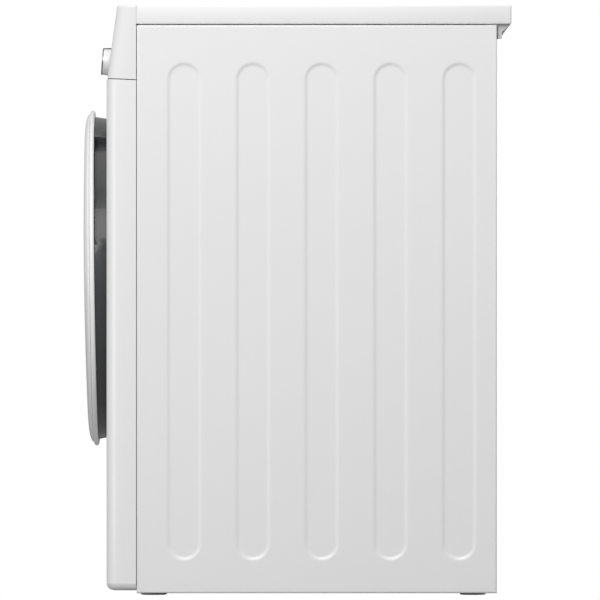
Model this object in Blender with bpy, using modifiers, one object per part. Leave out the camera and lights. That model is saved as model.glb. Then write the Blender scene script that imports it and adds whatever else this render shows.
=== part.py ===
"""Free-standing heat-pump clothes dryer, built as separate sub-parts.

Metres, +Z up. The machine stands on Z = 0 with its door towards -Y and its box centred on X and Y.
"""

from math import acos, atan2, cos, hypot, pi, radians, sin, sqrt, tan

import bmesh
import bpy
from mathutils import Matrix, Vector

# ---- clearances and sheet ----
GAP = 0.0003  # between pieces that rest on each other
SEAM = 0.0012  # visible joint between two panels
RUN = 0.0010  # around a piece that moves
SHEET = 0.0010
FOLD = 0.0140  # width of a panel's folded edge
FOLD_RADIUS = 0.0020

# ---- cabinet ----
WIDTH = 0.6000
HEIGHT = 0.8500
CABINET_DEPTH = 0.5622  # front panel's face to the side panels' rear fold
DOOR_DEPTH = 0.0375  # how far the door stands in front of the front panel
TOP_OVERHANG = 0.0210
TOP_THICKNESS = 0.0279
CORNER_DEPTH = 0.0435  # front panel's face to the seam on the side
CORNER_RADIUS = 0.0220
SIDE_BOTTOM_Z = 0.0030
FRONT_BOTTOM_Z = 0.0070
TOE_RADIUS = 0.0100

TOTAL_DEPTH = DOOR_DEPTH + CABINET_DEPTH + TOP_OVERHANG
FRONT_Y = DOOR_DEPTH - TOTAL_DEPTH / 2
REAR_Y = FRONT_Y + CABINET_DEPTH
REAR_BOSS_RADIUS = 0.2300
REAR_BOSS_DEPTH = 0.0090
REAR_BOSS_WALL = 0.0120
REAR_RECESS = REAR_BOSS_DEPTH + 0.0005  # sets the rear panel in, so that its boss stays inside the folds
TOP_REAR_Y = REAR_Y + TOP_OVERHANG
REAR_FACE_Y = REAR_Y - REAR_RECESS - SHEET - GAP
SEAM_Y = FRONT_Y + CORNER_DEPTH
SIDE_X = WIDTH / 2
TOP_Z = HEIGHT - TOP_THICKNESS

# ---- pressed channels of the side panels ----
CHANNELS = 5
CHANNEL_PITCH = 0.0990
CHANNEL_WIDTH = 0.0554
CHANNEL_DEPTH = 0.0020
CHANNEL_WALL = 0.0066
CHANNEL_BOTTOM = 0.0476
CHANNEL_TOP_MARGIN = 0.0523  # below the worktop
FIRST_CHANNEL = 0.0684  # behind the front seam
INNER_X = SIDE_X - SHEET - CHANNEL_DEPTH  # clear half width inside the channels

# ---- console ----
CONSOLE_HEIGHT = 0.1075
CONSOLE_WALL = 0.0025
CONSOLE_LEAN = radians(7.6)
CONSOLE_SETBACK = 0.0010
CONSOLE_EDGE = 0.0030
PARTING_RISE = 0.0020  # the parting line climbs this much from the seam to the front
PARTING_Z = HEIGHT - CONSOLE_HEIGHT

# ---- drum and its supports ----
DRUM_RADIUS = 0.2800
DRUM_LENGTH = 0.4240
DRUM_Z = 0.4900
DRUM_FLANGE = 0.0350
DRUM_STEPS = 40
BEAD_DEPTH = 0.0040
LIFTERS = 3
LIFTER_HEIGHT = 0.0450
LIFTER_WIDTH = 0.0600
LIFTER_END = 0.0300  # from each end of the drum
ROLLER_RADIUS = 0.0350
ROLLER_WIDTH = 0.0200
ROLLER_ANGLE = radians(35)
AXLE_RADIUS = 0.0060
BULKHEAD = 0.0020
BULKHEAD_BOTTOM_Z = 0.1950
SEAL_THICKNESS = 0.0056

FRONT_BULKHEAD_Y = SEAM_Y + SHEET + 2 * GAP
DRUM_FRONT_Y = FRONT_BULKHEAD_Y + BULKHEAD + SEAL_THICKNESS + 2 * GAP + 0.0005
DRUM_REAR_Y = DRUM_FRONT_Y + DRUM_LENGTH
REAR_BULKHEAD_Y = DRUM_REAR_Y + 0.0045
ROLLER_ORBIT = DRUM_RADIUS + ROLLER_RADIUS + GAP
ROLLER_X = ROLLER_ORBIT * sin(ROLLER_ANGLE)
ROLLER_Z = DRUM_Z - ROLLER_ORBIT * cos(ROLLER_ANGLE)

# ---- door ----
DOOR_Z = 0.4574
DOOR_LEAN = radians(0.7)
RIM_RADIUS = 0.2454
RIM_THICKNESS = 0.0068
RIM_WIDTH = 0.0150
HOUSING_DEPTH = 0.0184  # front panel to the rim's rear face
HOUSING_REAR_INSET = 0.0123  # rim edge to the housing's rear edge
HOUSING_FRONT_INSET = 0.0093
HOUSING_WALL = 0.0180
HOUSING_BACK = 0.0034
COVER_INSET = 0.0049
COVER_WALL = 0.0025
DOME_RADIUS = 5.7
GRIP_START = radians(11.8)
GRIP_END = radians(61.0)
GRIP_DEPTH = 0.0120
MOUTH_INSET = 0.0674  # rim's edge to the mouth's edge
MOUTH_RADIUS = RIM_RADIUS - MOUTH_INSET
MOUTH_WALL = 0.0025
BOWL_CLEARANCE = 0.0100
BOWL_TAPER = 0.0180
BOWL_RADIUS = MOUTH_RADIUS - BOWL_CLEARANCE
BOWL_END_RADIUS = BOWL_RADIUS - BOWL_TAPER
BOWL_DEPTH = 0.0300  # behind the front panel's face
BOWL_WALL = 0.0030
DOOR_STEPS = 48

HINGE_X = -(RIM_RADIUS - 0.0034)
HINGE_Y = FRONT_Y - 0.0130
HINGE_BARREL = 0.0040
HINGE_PIN = 0.0020
LEAF_HALF_HEIGHT = 0.0340
LUG_HEIGHT = 0.0100
LATCH_X = RIM_RADIUS - 0.0494

# ---- lint filter and its duct ----
FILTER_WIDTH = 0.2000
FILTER_THICKNESS = 0.0110
FILTER_BOTTOM_Z = 0.1300
DUCT_BOTTOM_Z = 0.1200
FILTER_REAR_Y = FRONT_BULKHEAD_Y - 0.0015

# ---- water tank and its tray ----
TANK_WIDTH = 0.1775
TANK_HEIGHT = 0.0345
TANK_LENGTH = 0.3800
TANK_WALL = 0.0020
TANK_SIDE_MARGIN = 0.0260  # from the cabinet's side to the tank
TANK_TOP_MARGIN = 0.0141  # from the worktop to the tank
TRAY_WALL = 0.0020
TANK_FRONT_MARGIN = 0.0240  # cabinet's side to the drawer's front

TANK_LEFT = -SIDE_X + TANK_SIDE_MARGIN
TANK_RIGHT = TANK_LEFT + TANK_WIDTH
TANK_TOP_Z = TOP_Z - TANK_TOP_MARGIN
TANK_BOTTOM_Z = TANK_TOP_Z - TANK_HEIGHT
TRAY_Z = TANK_BOTTOM_Z - RUN - TRAY_WALL

# ---- controls ----
KNOB_RADIUS = 0.0203
KNOB_TIP_RADIUS = 0.0188
KNOB_LENGTH = 0.0172
KNOB_Z = PARTING_Z + 0.0305
KNOB_LEAN = radians(4.0)
DISPLAY_X = 0.1230
DISPLAY_WIDTH = 0.1260
DISPLAY_HEIGHT = 0.0300
DISPLAY_Z = PARTING_Z + 0.0480
BUTTON_THICKNESS = 0.0060
BUTTON_PROUD = 0.0014
POWER_X = -0.0560
START_X = 0.2350
OPTION_X = (0.0900, 0.1500)
ROUND_BUTTON_RADIUS = 0.0105
OPTION_WIDTH = 0.0300
OPTION_HEIGHT = 0.0090

# ---- base, drive and heat pump ----
BASE_Z = 0.0120
BASE_FLOOR = 0.0040
BASE_WALL = 0.0030
BASE_HEIGHT = 0.0460
BASE_FRONT = 0.0170  # behind the front panel's face
FOOT_RADIUS = 0.0190
FOOT_STEM = 0.0050
FOOT_X = SIDE_X - 0.0400
FOOT_FRONT_Y = SEAM_Y + 0.0244
FOOT_REAR_Y = REAR_Y - 0.0340
MOTOR_X = 0.1700
MOTOR_Z = 0.1050
MOTOR_RADIUS = 0.0520
MOTOR_LENGTH = 0.1200
SHAFT_RADIUS = 0.0050
PULLEY_RADIUS = 0.0070
BELT_Y = 0.0450
BELT_WIDTH = 0.0100
BELT_THICKNESS = 0.0020
IDLER_X = 0.0850
IDLER_Z = 0.0750
IDLER_RADIUS = 0.0130
IDLER_PIVOT_X = 0.0350
IDLER_PIVOT_Z = 0.0600
IDLER_PIN = 0.0040
FAN_RADIUS = 0.0780
FAN_DEPTH = 0.0480
FAN_Y = 0.1200
FAN_INLET = 0.0450
EXCHANGER_WIDTH = 0.2000
EXCHANGER_HEIGHT = 0.1450
EXCHANGER_LENGTH = 0.1000
EXCHANGER_X = -0.1440
EXCHANGER_FRONT_Y = -0.2100
EXCHANGER_SPACING = 0.0120
COMPRESSOR_RADIUS = 0.0600
COMPRESSOR_HEIGHT = 0.1500
COMPRESSOR_X = -0.1750
COMPRESSOR_Y = 0.1350
PUMP_X = 0.2425
PUMP_Y = -0.1225
PUMP_SIZE = 0.0550
PUMP_HEIGHT = 0.0450
PUMP_SPOUT = 0.0060
PUMP_SPOUT_HEIGHT = 0.0200

# ---- service flap ----
FLAP_WIDTH = 0.1900
FLAP_HEIGHT = 0.1400
FLAP_X = -0.1670
FLAP_Z = 0.0455
FLAP_THICKNESS = 0.0040
FLAP_GAP = 0.0015
FLAP_AXIS_DEPTH = 0.0059
FLAP_AXIS_RISE = 0.0045

BASE_TOP = BASE_Z + BASE_FLOOR


# ---- scene, materials and small helpers ----
def clear_scene():
    for obj in list(bpy.data.objects):
        bpy.data.objects.remove(obj, do_unlink=True)


def add_collection(name, hidden):
    collection = bpy.data.collections.new(name)
    bpy.context.scene.collection.children.link(collection)
    collection.hide_render = hidden
    return collection


def add_material(name, colour, roughness, metallic=0.0, alpha=1.0):
    material = bpy.data.materials.new(name)
    material.use_nodes = True
    shader = material.node_tree.nodes["Principled BSDF"]
    shader.inputs["Base Color"].default_value = (*colour, 1.0)
    shader.inputs["Roughness"].default_value = roughness
    shader.inputs["Metallic"].default_value = metallic
    shader.inputs["Alpha"].default_value = alpha
    return material


clear_scene()
PARTS = add_collection("clothes_dryer", hidden=False)
CUTTERS = add_collection("dryer_cutters", hidden=True)

WHITE = add_material("white_enamel", (0.86, 0.86, 0.86), 0.35)
WHITE_PLASTIC = add_material("white_plastic", (0.87, 0.87, 0.87), 0.40)
DARK_GLOSS = add_material("dark_gloss_plastic", (0.045, 0.045, 0.050), 0.15)
SILVER = add_material("satin_silver", (0.62, 0.62, 0.63), 0.30, 0.9)
SMOKED = add_material("smoked_glass", (0.10, 0.10, 0.11), 0.06, 0.0, 0.6)
STEEL = add_material("stainless_steel", (0.60, 0.60, 0.60), 0.30, 1.0)
ZINC = add_material("galvanised_steel", (0.55, 0.57, 0.58), 0.45, 1.0)
GREY_PLASTIC = add_material("grey_plastic", (0.30, 0.30, 0.31), 0.50)
BLACK_PLASTIC = add_material("black_plastic", (0.03, 0.03, 0.03), 0.45)
RUBBER = add_material("black_rubber", (0.02, 0.02, 0.02), 0.80)
FELT = add_material("grey_felt", (0.25, 0.25, 0.24), 0.95)
COPPER = add_material("copper", (0.72, 0.38, 0.22), 0.30, 1.0)
ALUMINIUM = add_material("aluminium", (0.75, 0.76, 0.77), 0.35, 1.0)
BOARD = add_material("circuit_board", (0.03, 0.16, 0.07), 0.50)


def add_object(name, bm, material, collection=PARTS):
    bmesh.ops.recalc_face_normals(bm, faces=bm.faces)
    mesh = bpy.data.meshes.new(name)
    bm.to_mesh(mesh)
    bm.free()
    mesh.materials.append(material)
    mesh.shade_smooth()
    mesh.set_sharp_from_angle(angle=radians(35))
    obj = bpy.data.objects.new(name, mesh)
    collection.objects.link(obj)
    if collection is CUTTERS:
        obj.hide_render = True
        obj.display_type = "WIRE"
    return obj


def box_into(bm, low, high):
    size = Vector(high) - Vector(low)
    middle = (Vector(high) + Vector(low)) / 2
    matrix = Matrix.Translation(middle) @ Matrix.Diagonal((*size, 1.0))
    return bmesh.ops.create_cube(bm, size=1.0, matrix=matrix)["verts"]


def box(name, low, high, material, collection=PARTS, bevel=0.0):
    bm = bmesh.new()
    box_into(bm, low, high)
    if bevel:
        round_edges(bm, bm.edges[:], bevel, 2)
    return add_object(name, bm, material, collection)


def round_edges(bm, edges, radius, segments):
    bmesh.ops.bevel(
        bm,
        geom=edges,
        offset=radius,
        segments=segments,
        profile=0.5,
        affect="EDGES",
        clamp_overlap=True,
        material=-1,
    )


def turned(profile, steps, centre=(0.0, 0.0, 0.0), arc=2 * pi, start=0.0):
    """A bmesh turned about a line along Y through centre, from (radius, y) points."""
    bm = bmesh.new()
    on_axis = profile[0][0] == 0.0 and profile[-1][0] == 0.0
    turn_start = Matrix.Rotation(-start, 4, "Y")
    verts = [bm.verts.new(turn_start @ Vector((r, y, 0.0))) for r, y in profile]
    edges = [bm.edges.new(pair) for pair in zip(verts, verts[1:])]
    if not on_axis:
        edges.append(bm.edges.new((verts[-1], verts[0])))
    full = arc == 2 * pi
    if not full:
        bm.faces.new(verts)
    bmesh.ops.spin(
        bm,
        geom=bm.verts[:] + bm.edges[:] + bm.faces[:],
        axis=(0.0, -1.0, 0.0),
        cent=(0.0, 0.0, 0.0),
        angle=arc,
        steps=steps,
        use_merge=full,
    )
    bmesh.ops.remove_doubles(bm, verts=bm.verts, dist=1e-6)
    bmesh.ops.translate(bm, verts=bm.verts, vec=centre)
    return bm


def cylinder_into(bm, centre, radius, start, end, axis="Y", steps=24):
    """A cylinder along X, Y or Z from start to end on that axis; centre gives the other two places."""
    turn = {"X": Matrix.Rotation(pi / 2, 4, "Y"), "Y": Matrix.Rotation(pi / 2, 4, "X"), "Z": Matrix()}[axis]
    middle = Vector(centre)
    middle["XYZ".index(axis)] = (start + end) / 2
    return bmesh.ops.create_cone(
        bm,
        cap_ends=True,
        segments=steps,
        radius1=radius,
        radius2=radius,
        depth=abs(end - start),
        matrix=Matrix.Translation(middle) @ turn,
    )["verts"]


def cylinder(name, centre, radius, start, end, material, collection=PARTS, axis="Y", steps=24):
    bm = bmesh.new()
    cylinder_into(bm, centre, radius, start, end, axis, steps)
    return add_object(name, bm, material, collection)


def prism(name, outline, start, end, material, axis="Y", collection=PARTS, bevel=0.0):
    """An outline in the plane across the axis, pulled from start to end along it."""
    place = {
        "X": lambda a, b: (start, a, b),
        "Y": lambda a, b: (a, start, b),
        "Z": lambda a, b: (a, b, start),
    }[axis]
    bm = bmesh.new()
    face = bm.faces.new([bm.verts.new(place(a, b)) for a, b in outline])
    pull = Vector((0.0, 0.0, 0.0))
    pull["XYZ".index(axis)] = end - start
    made = bmesh.ops.extrude_face_region(bm, geom=[face])["geom"]
    bmesh.ops.translate(bm, verts=[v for v in made if isinstance(v, bmesh.types.BMVert)], vec=pull)
    if bevel:
        round_edges(bm, bm.edges[:], bevel, 2)
    return add_object(name, bm, material, collection)


def boolean(obj, other, operation):
    modifier = obj.modifiers.new(operation.lower(), "BOOLEAN")
    modifier.operation = operation
    modifier.solver = "EXACT"
    modifier.object = other


def cut(obj, cutter):
    boolean(obj, cutter, "DIFFERENCE")


def join(obj, piece):
    boolean(obj, piece, "UNION")


def cut_box(obj, low, high):
    cut(obj, box(f"{obj.name}_cut", low, high, BLACK_PLASTIC, CUTTERS))


def cut_cylinder(obj, centre, radius, start, end, axis="Y", steps=24):
    cut(obj, cylinder(f"{obj.name}_bore", centre, radius, start, end, BLACK_PLASTIC, CUTTERS, axis, steps))


def join_box(obj, low, high, bevel=0.0):
    join(obj, box(f"{obj.name}_add", low, high, obj.data.materials[0], CUTTERS, bevel))


def thicken(obj, wall, offset=-1.0):
    modifier = obj.modifiers.new("wall", "SOLIDIFY")
    modifier.thickness = wall
    modifier.offset = offset
    modifier.use_even_offset = True


def add_pivot(name, place, lean=0.0):
    pivot = bpy.data.objects.new(name, None)
    pivot.matrix_world = Matrix.Translation(place) @ Matrix.Rotation(lean, 4, "X")
    PARTS.objects.link(pivot)
    return pivot


def hang(obj, pivot, place=(0.0, 0.0, 0.0)):
    """Makes the pivot the parent of a piece that was modelled in world coordinates."""
    obj.parent = pivot
    obj.matrix_parent_inverse = Matrix.Translation(place).inverted()


# ---- cabinet ----
def pressed_sheet(low, high, pressings, depth, wall):
    """A flat sheet in (u, v) with pressings: each is a spine (u, low v, high v) and a radius."""
    bm = bmesh.new()
    corners = [(low[0], low[1]), (high[0], low[1]), (high[0], high[1]), (low[0], high[1])]
    outline = [bm.verts.new((u, v, 0.0)) for u, v in corners]
    outline_edges = [bm.edges.new((outline[i - 1], outline[i])) for i in range(4)]
    loops = []
    for u, v_low, v_high, radius, steps in pressings:
        points = []
        for end, first in ((v_high, 0.0), (v_low, pi)):
            for i in range(steps + (v_low < v_high)):
                angle = first + pi * i / steps
                points.append((u + radius * cos(angle), end + radius * sin(angle), 0.0))
        verts = [bm.verts.new(p) for p in points]
        loops.append([bm.edges.new((verts[i - 1], verts[i])) for i in range(len(verts))])
    every_edge = outline_edges + [edge for loop in loops for edge in loop]
    bmesh.ops.triangle_fill(bm, edges=every_edge, use_beauty=True)
    for loop, (u, v_low, v_high, _, _) in zip(loops, pressings):
        made = bmesh.ops.extrude_edge_only(bm, edges=loop)["geom"]
        for vert in [v for v in made if isinstance(v, bmesh.types.BMVert)]:
            spine = Vector((u, min(max(vert.co.y, v_low), v_high), 0.0))
            vert.co += (spine - vert.co).normalized() * wall + Vector((0.0, 0.0, depth))
        bmesh.ops.edgeloop_fill(
            bm, edges=[e for e in made if isinstance(e, bmesh.types.BMEdge) and e.is_boundary]
        )
    return bm


def fold_outline(bm, width, radius):
    """Folds the sheet's outer edges towards the side that its pressings go."""
    rim = [e for e in bm.edges if e.is_boundary]
    made = bmesh.ops.extrude_edge_only(bm, edges=rim)["geom"]
    lowered = [v for v in made if isinstance(v, bmesh.types.BMVert)]
    bmesh.ops.translate(bm, verts=lowered, vec=(0.0, 0.0, width))
    round_edges(bm, rim, radius, 2)


def side_panel(name, side):
    top = TOP_Z - SEAM
    centres = [SEAM_Y + FIRST_CHANNEL + i * CHANNEL_PITCH for i in range(CHANNELS)]
    radius = CHANNEL_WIDTH / 2
    low, high = CHANNEL_BOTTOM + radius, TOP_Z - CHANNEL_TOP_MARGIN - radius
    pressings = [(y, low, high, radius, 6) for y in centres]
    bm = pressed_sheet((SEAM_Y, SIDE_BOTTOM_Z), (REAR_Y, top), pressings, CHANNEL_DEPTH, CHANNEL_WALL)
    fold_outline(bm, FOLD, FOLD_RADIUS)
    for vert in bm.verts:
        y, z, inward = vert.co
        vert.co = (side * (SIDE_X - inward), y, z)
    panel = add_object(name, bm, WHITE)
    face_out(panel, Vector((side, 0.0, 0.0)))
    thicken(panel, SHEET)


def face_out(obj, outward):
    """Turns an open sheet's faces so that its flat stretch looks along outward."""
    mesh = obj.data
    total = sum((p.normal * p.area for p in mesh.polygons), Vector())
    if total.dot(outward) < 0:
        mesh.flip_normals()


def rear_panel():
    low = (-SIDE_X + 0.002, 0.010)
    high = (SIDE_X - 0.002, TOP_Z - 0.0025)
    boss = (0.0, DRUM_Z, DRUM_Z, REAR_BOSS_RADIUS, 24)
    bm = pressed_sheet(low, high, [boss], REAR_BOSS_DEPTH, REAR_BOSS_WALL)
    for vert in bm.verts:
        x, z, outward = vert.co
        vert.co = (x, REAR_FACE_Y + outward, z)
    panel = add_object("rear_panel", bm, ZINC)
    face_out(panel, Vector((0.0, 1.0, 0.0)))
    thicken(panel, SHEET)
    bm = bmesh.new()
    for row in range(6):
        z = 0.060 + 0.018 * row
        box_into(bm, (-0.090, REAR_FACE_Y - 0.01, z), (0.090, REAR_FACE_Y + 0.01, z + 0.006))
    cut(panel, add_object("rear_vents", bm, ZINC, CUTTERS))


def front_panel():
    half = SEAM / 2
    bm = bmesh.new()
    verts = box_into(bm, (-SIDE_X, FRONT_Y, FRONT_BOTTOM_Z), (SIDE_X, SEAM_Y - half, PARTING_Z))
    for vert in verts:
        if vert.co.z > PARTING_Z - 0.001:
            vert.co.z += PARTING_RISE / 2 if vert.co.y < FRONT_Y + 0.001 else -PARTING_RISE / 2
    loose = [f for f in bm.faces if abs(f.normal.y - 1) < 0.1 or f.normal.z > 0.9]
    bmesh.ops.delete(bm, geom=loose, context="FACES")
    upright = [e for e in bm.edges if is_upright(e) and not e.is_boundary]
    round_edges(bm, upright, CORNER_RADIUS, 6)
    toe = [e for e in bm.edges if not e.is_boundary and all(v.co.z < FRONT_BOTTOM_Z + 0.001 for v in e.verts)]
    round_edges(bm, toe, TOE_RADIUS, 3)
    back = [e for e in bm.edges if e.is_boundary and is_upright(e)]
    made = bmesh.ops.extrude_edge_only(bm, edges=back)["geom"]
    for vert in [v for v in made if isinstance(v, bmesh.types.BMVert)]:
        vert.co.x -= FOLD if vert.co.x > 0 else -FOLD
    panel = add_object("front_panel", bm, WHITE)
    face_out(panel, Vector((0.0, -1.0, 0.0)))
    thicken(panel, SHEET)
    depth = (FRONT_Y - 0.01, FRONT_Y + 0.01)
    cut_cylinder(panel, (0.0, 0.0, DOOR_Z), MOUTH_RADIUS + 0.002, *depth, steps=DOOR_STEPS)
    cut_box(
        panel,
        (FLAP_X - FLAP_WIDTH / 2 - FLAP_GAP, depth[0], FLAP_Z - FLAP_GAP),
        (FLAP_X + FLAP_WIDTH / 2 + FLAP_GAP, depth[1], FLAP_Z + FLAP_HEIGHT + FLAP_GAP),
    )
    cut_box(panel, (LATCH_X - 0.008, depth[0], DOOR_Z - 0.018), (LATCH_X + 0.010, depth[1], DOOR_Z + 0.018))


def is_upright(edge):
    a, b = edge.verts
    return abs(a.co.z - b.co.z) > 10 * hypot(a.co.x - b.co.x, a.co.y - b.co.y)


def console_y(z):
    return FRONT_Y + CONSOLE_SETBACK + (z - PARTING_Z) * tan(CONSOLE_LEAN)


def console_place(x, z):
    """A place on the leaning face of the console."""
    return (x, console_y(z), z)


def console_matrix(x, z, lean=CONSOLE_LEAN):
    return Matrix.Translation(console_place(x, z)) @ Matrix.Rotation(-lean, 4, "X")


def console_fascia():
    bm = bmesh.new()
    low_z = PARTING_Z + SEAM
    verts = box_into(bm, (-SIDE_X, FRONT_Y, low_z), (SIDE_X, SEAM_Y - SEAM / 2, HEIGHT))
    for vert in verts:
        if vert.co.y < FRONT_Y + 0.001:
            vert.co.y = console_y(vert.co.z)
            vert.co.z += PARTING_RISE / 2 if vert.co.z < HEIGHT - 0.001 else 0.0
        elif vert.co.z < HEIGHT - 0.001:
            vert.co.z -= PARTING_RISE / 2
    loose = [f for f in bm.faces if f.normal.y > 0.9 or f.normal.z < -0.9]
    bmesh.ops.delete(bm, geom=loose, context="FACES")
    upright = [e for e in bm.edges if not e.is_boundary and abs(e.verts[0].co.x - e.verts[1].co.x) < 1e-5]
    upright = [e for e in upright if abs(e.verts[0].co.z - e.verts[1].co.z) > 0.01]
    round_edges(bm, upright, CORNER_RADIUS, 6)
    brow = [e for e in bm.edges if not e.is_boundary and all(v.co.z > HEIGHT - 1e-4 for v in e.verts)]
    round_edges(bm, brow, CONSOLE_EDGE, 2)
    fascia = add_object("console_fascia", bm, WHITE_PLASTIC)
    face_out(fascia, Vector((0.0, -1.0, 0.0)))
    thicken(fascia, CONSOLE_WALL)
    near, far = FRONT_Y - 0.02, FRONT_Y + 0.035
    cut_cylinder(fascia, (0.0, 0.0, KNOB_Z), KNOB_RADIUS + RUN, near, far, steps=48)
    cut_cylinder(fascia, (POWER_X, 0.0, KNOB_Z), ROUND_BUTTON_RADIUS + RUN, near, far)
    cut_cylinder(fascia, (START_X, 0.0, KNOB_Z), ROUND_BUTTON_RADIUS + RUN, near, far)
    for x in OPTION_X:
        low = (x - OPTION_WIDTH / 2 - RUN, near, option_z() - OPTION_HEIGHT / 2 - RUN)
        high = (x + OPTION_WIDTH / 2 + RUN, far, option_z() + OPTION_HEIGHT / 2 + RUN)
        cut_box(fascia, low, high)
    width, height = DISPLAY_WIDTH / 2 + GAP, DISPLAY_HEIGHT / 2 + 2 * GAP
    low = (DISPLAY_X - width, near, DISPLAY_Z - height)
    cut_box(fascia, low, (DISPLAY_X + width, far, DISPLAY_Z + height))
    low = (tank_front_left() - RUN, near, tank_front_low() - RUN)
    cut_box(fascia, low, (TANK_RIGHT + 0.004 + RUN, far, tank_front_high() + RUN))


def option_z():
    return PARTING_Z + 0.0160


def tank_front_left():
    return -SIDE_X + TANK_FRONT_MARGIN


def tank_front_low():
    return TANK_BOTTOM_Z - 0.0180


def tank_front_high():
    return TANK_TOP_Z + 0.0060


def worktop():
    low, high = (-SIDE_X, SEAM_Y + SEAM / 2, TOP_Z), (SIDE_X, TOP_REAR_Y, HEIGHT)
    box("worktop", low, high, WHITE_PLASTIC, bevel=0.0020)


def worktop_bracket(name, side):
    top = TOP_Z - GAP
    front = REAR_Y + 0.0016
    outline = [
        (front, top),
        (front, top - 0.0197),
        (front + 0.0058, top - 0.0197),
        (front + 0.0058, top - 0.0107),
        (front + 0.0176, top - 0.0010),
        (front + 0.0176, top),
    ]
    near = side * (SIDE_X - 0.008)
    prism(name, outline, near, near - side * 0.030, GREY_PLASTIC, axis="X")


def cross_brace():
    y, top = SEAM_Y + 0.0250, TOP_Z - 0.0018
    half = SIDE_X - FOLD - 0.0012
    brace = box("cross_brace", (-half, y, top - 0.0095), (half, y + 0.030, top), ZINC)
    cut_box(brace, (-half - 0.01, y + 0.0015, top - 0.02), (half + 0.01, y + 0.0285, top - 0.0015))


# ---- bulkheads, drum and rollers ----
def axles_into(bm, start, end):
    for x in (-ROLLER_X, ROLLER_X):
        cylinder_into(bm, (x, 0.0, ROLLER_Z), AXLE_RADIUS, start, end, steps=16)


def duct_box(name, inset, low_z, high_z, collection=CUTTERS):
    half = FILTER_WIDTH / 2 + RUN + inset
    front = FILTER_REAR_Y - FILTER_THICKNESS - RUN - inset
    rear = FILTER_REAR_Y + RUN + inset
    return box(name, (-half, front, low_z), (half, rear, high_z), GREY_PLASTIC, collection)


def front_bulkhead():
    y = FRONT_BULKHEAD_Y
    half = INNER_X - 0.0015
    plate = box(
        "front_bulkhead", (-half, y, BULKHEAD_BOTTOM_Z), (half, y + BULKHEAD, TRAY_Z - 0.002), GREY_PLASTIC
    )
    outer = MOUTH_RADIUS + MOUTH_WALL
    front = FRONT_Y + SHEET + 0.0005
    tunnel = cylinder(
        "mouth_tunnel", (0.0, 0.0, DOOR_Z), outer, front, y + 0.001, GREY_PLASTIC, CUTTERS, steps=DOOR_STEPS
    )
    join(plate, tunnel)
    join(plate, duct_box("filter_duct", 0.0020, DUCT_BOTTOM_Z, DOOR_Z - 0.145))
    bm = bmesh.new()
    axles_into(bm, y + 0.001, DRUM_FRONT_Y + 0.004 + ROLLER_WIDTH + 0.002)
    join(plate, add_object("front_axles", bm, ZINC, CUTTERS))
    cut_cylinder(plate, (0.0, 0.0, DOOR_Z), MOUTH_RADIUS, front - 0.01, y + 0.01, steps=DOOR_STEPS)
    cut(plate, duct_box("duct_hollow", 0.0, DUCT_BOTTOM_Z - 0.01, DOOR_Z - 0.110))


def rear_bulkhead():
    y = REAR_BULKHEAD_Y
    half = INNER_X - 0.0015
    plate = box("rear_bulkhead", (-half, y, BULKHEAD_BOTTOM_Z), (half, y + BULKHEAD, TRAY_Z - 0.002), ZINC)
    outer = DRUM_RADIUS - 0.0180
    profile = [(outer, y + 0.001), (outer, y - 0.018), (outer - 0.002, y - 0.018), (outer - 0.002, y + 0.001)]
    join(plate, add_object("rear_collar", turned(profile, DRUM_STEPS, (0.0, 0.0, DRUM_Z)), ZINC, CUTTERS))
    bm = bmesh.new()
    axles_into(bm, DRUM_REAR_Y - 0.006 - ROLLER_WIDTH - 0.002, y + 0.001)
    join(plate, add_object("rear_axles", bm, ZINC, CUTTERS))


def drum_seal():
    outer, inner = DRUM_RADIUS - 0.010, DRUM_RADIUS - 0.028
    front = FRONT_BULKHEAD_Y + BULKHEAD + GAP
    rear = front + SEAL_THICKNESS
    profile = [(inner, front), (outer, front), (outer, rear), (inner, rear)]
    add_object("drum_seal", turned(profile, DRUM_STEPS, (0.0, 0.0, DRUM_Z)), FELT)


def drum(pivot):
    r, wall, front, rear = DRUM_RADIUS, SHEET, DRUM_FRONT_Y, DRUM_REAR_Y
    beads = [front + 0.060, rear - 0.060]
    outer, inner = [], []
    for y in beads:
        for dy, drop in ((-0.008, 0.0), (-0.004, BEAD_DEPTH), (0.004, BEAD_DEPTH), (0.008, 0.0)):
            outer.append((r - drop, y + dy))
            inner.append((r - wall - drop, y + dy))
    mouth = r - DRUM_FLANGE
    profile = [(mouth, front), (r, front), *outer, (r, rear), (r - 0.012, rear), (r - 0.012, rear - wall)]
    profile += [(r - wall, rear - wall), *reversed(inner), (r - wall, front + wall), (mouth, front + wall)]
    hang(add_object("drum", turned(profile, DRUM_STEPS, (0.0, 0.0, DRUM_Z)), STEEL), pivot, pivot.location)


def drum_lifters(pivot):
    half = LIFTER_WIDTH / 2
    seat = sqrt(((DRUM_RADIUS - SHEET - BEAD_DEPTH) * cos(pi / DRUM_STEPS)) ** 2 - half**2) - GAP
    top = seat - LIFTER_HEIGHT
    front, rear = DRUM_FRONT_Y + LIFTER_END, DRUM_REAR_Y - LIFTER_END
    outline = [
        (-half, seat), (-0.016, top + 0.010), (-0.008, top), (0.008, top), (0.016, top + 0.010), (half, seat)
    ]
    for i in range(LIFTERS):
        turn = Matrix.Rotation(2 * pi * i / LIFTERS, 4, "Y")
        lifter = prism(f"drum_lifter_{i + 1}", outline, front, rear, WHITE_PLASTIC)
        lifter.data.transform(Matrix.Translation((0.0, 0.0, DRUM_Z)) @ turn)
        hang(lifter, pivot, pivot.location)


def wheel(name, x, z, bore, radius, start, end, material, steps=32):
    place = (x, (start + end) / 2, z)
    pivot = add_pivot(f"{name}_axis", place)
    profile = [(bore, start), (radius, start), (radius, end), (bore, end)]
    hang(add_object(name, turned(profile, steps, (x, 0.0, z)), material), pivot, place)


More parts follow.
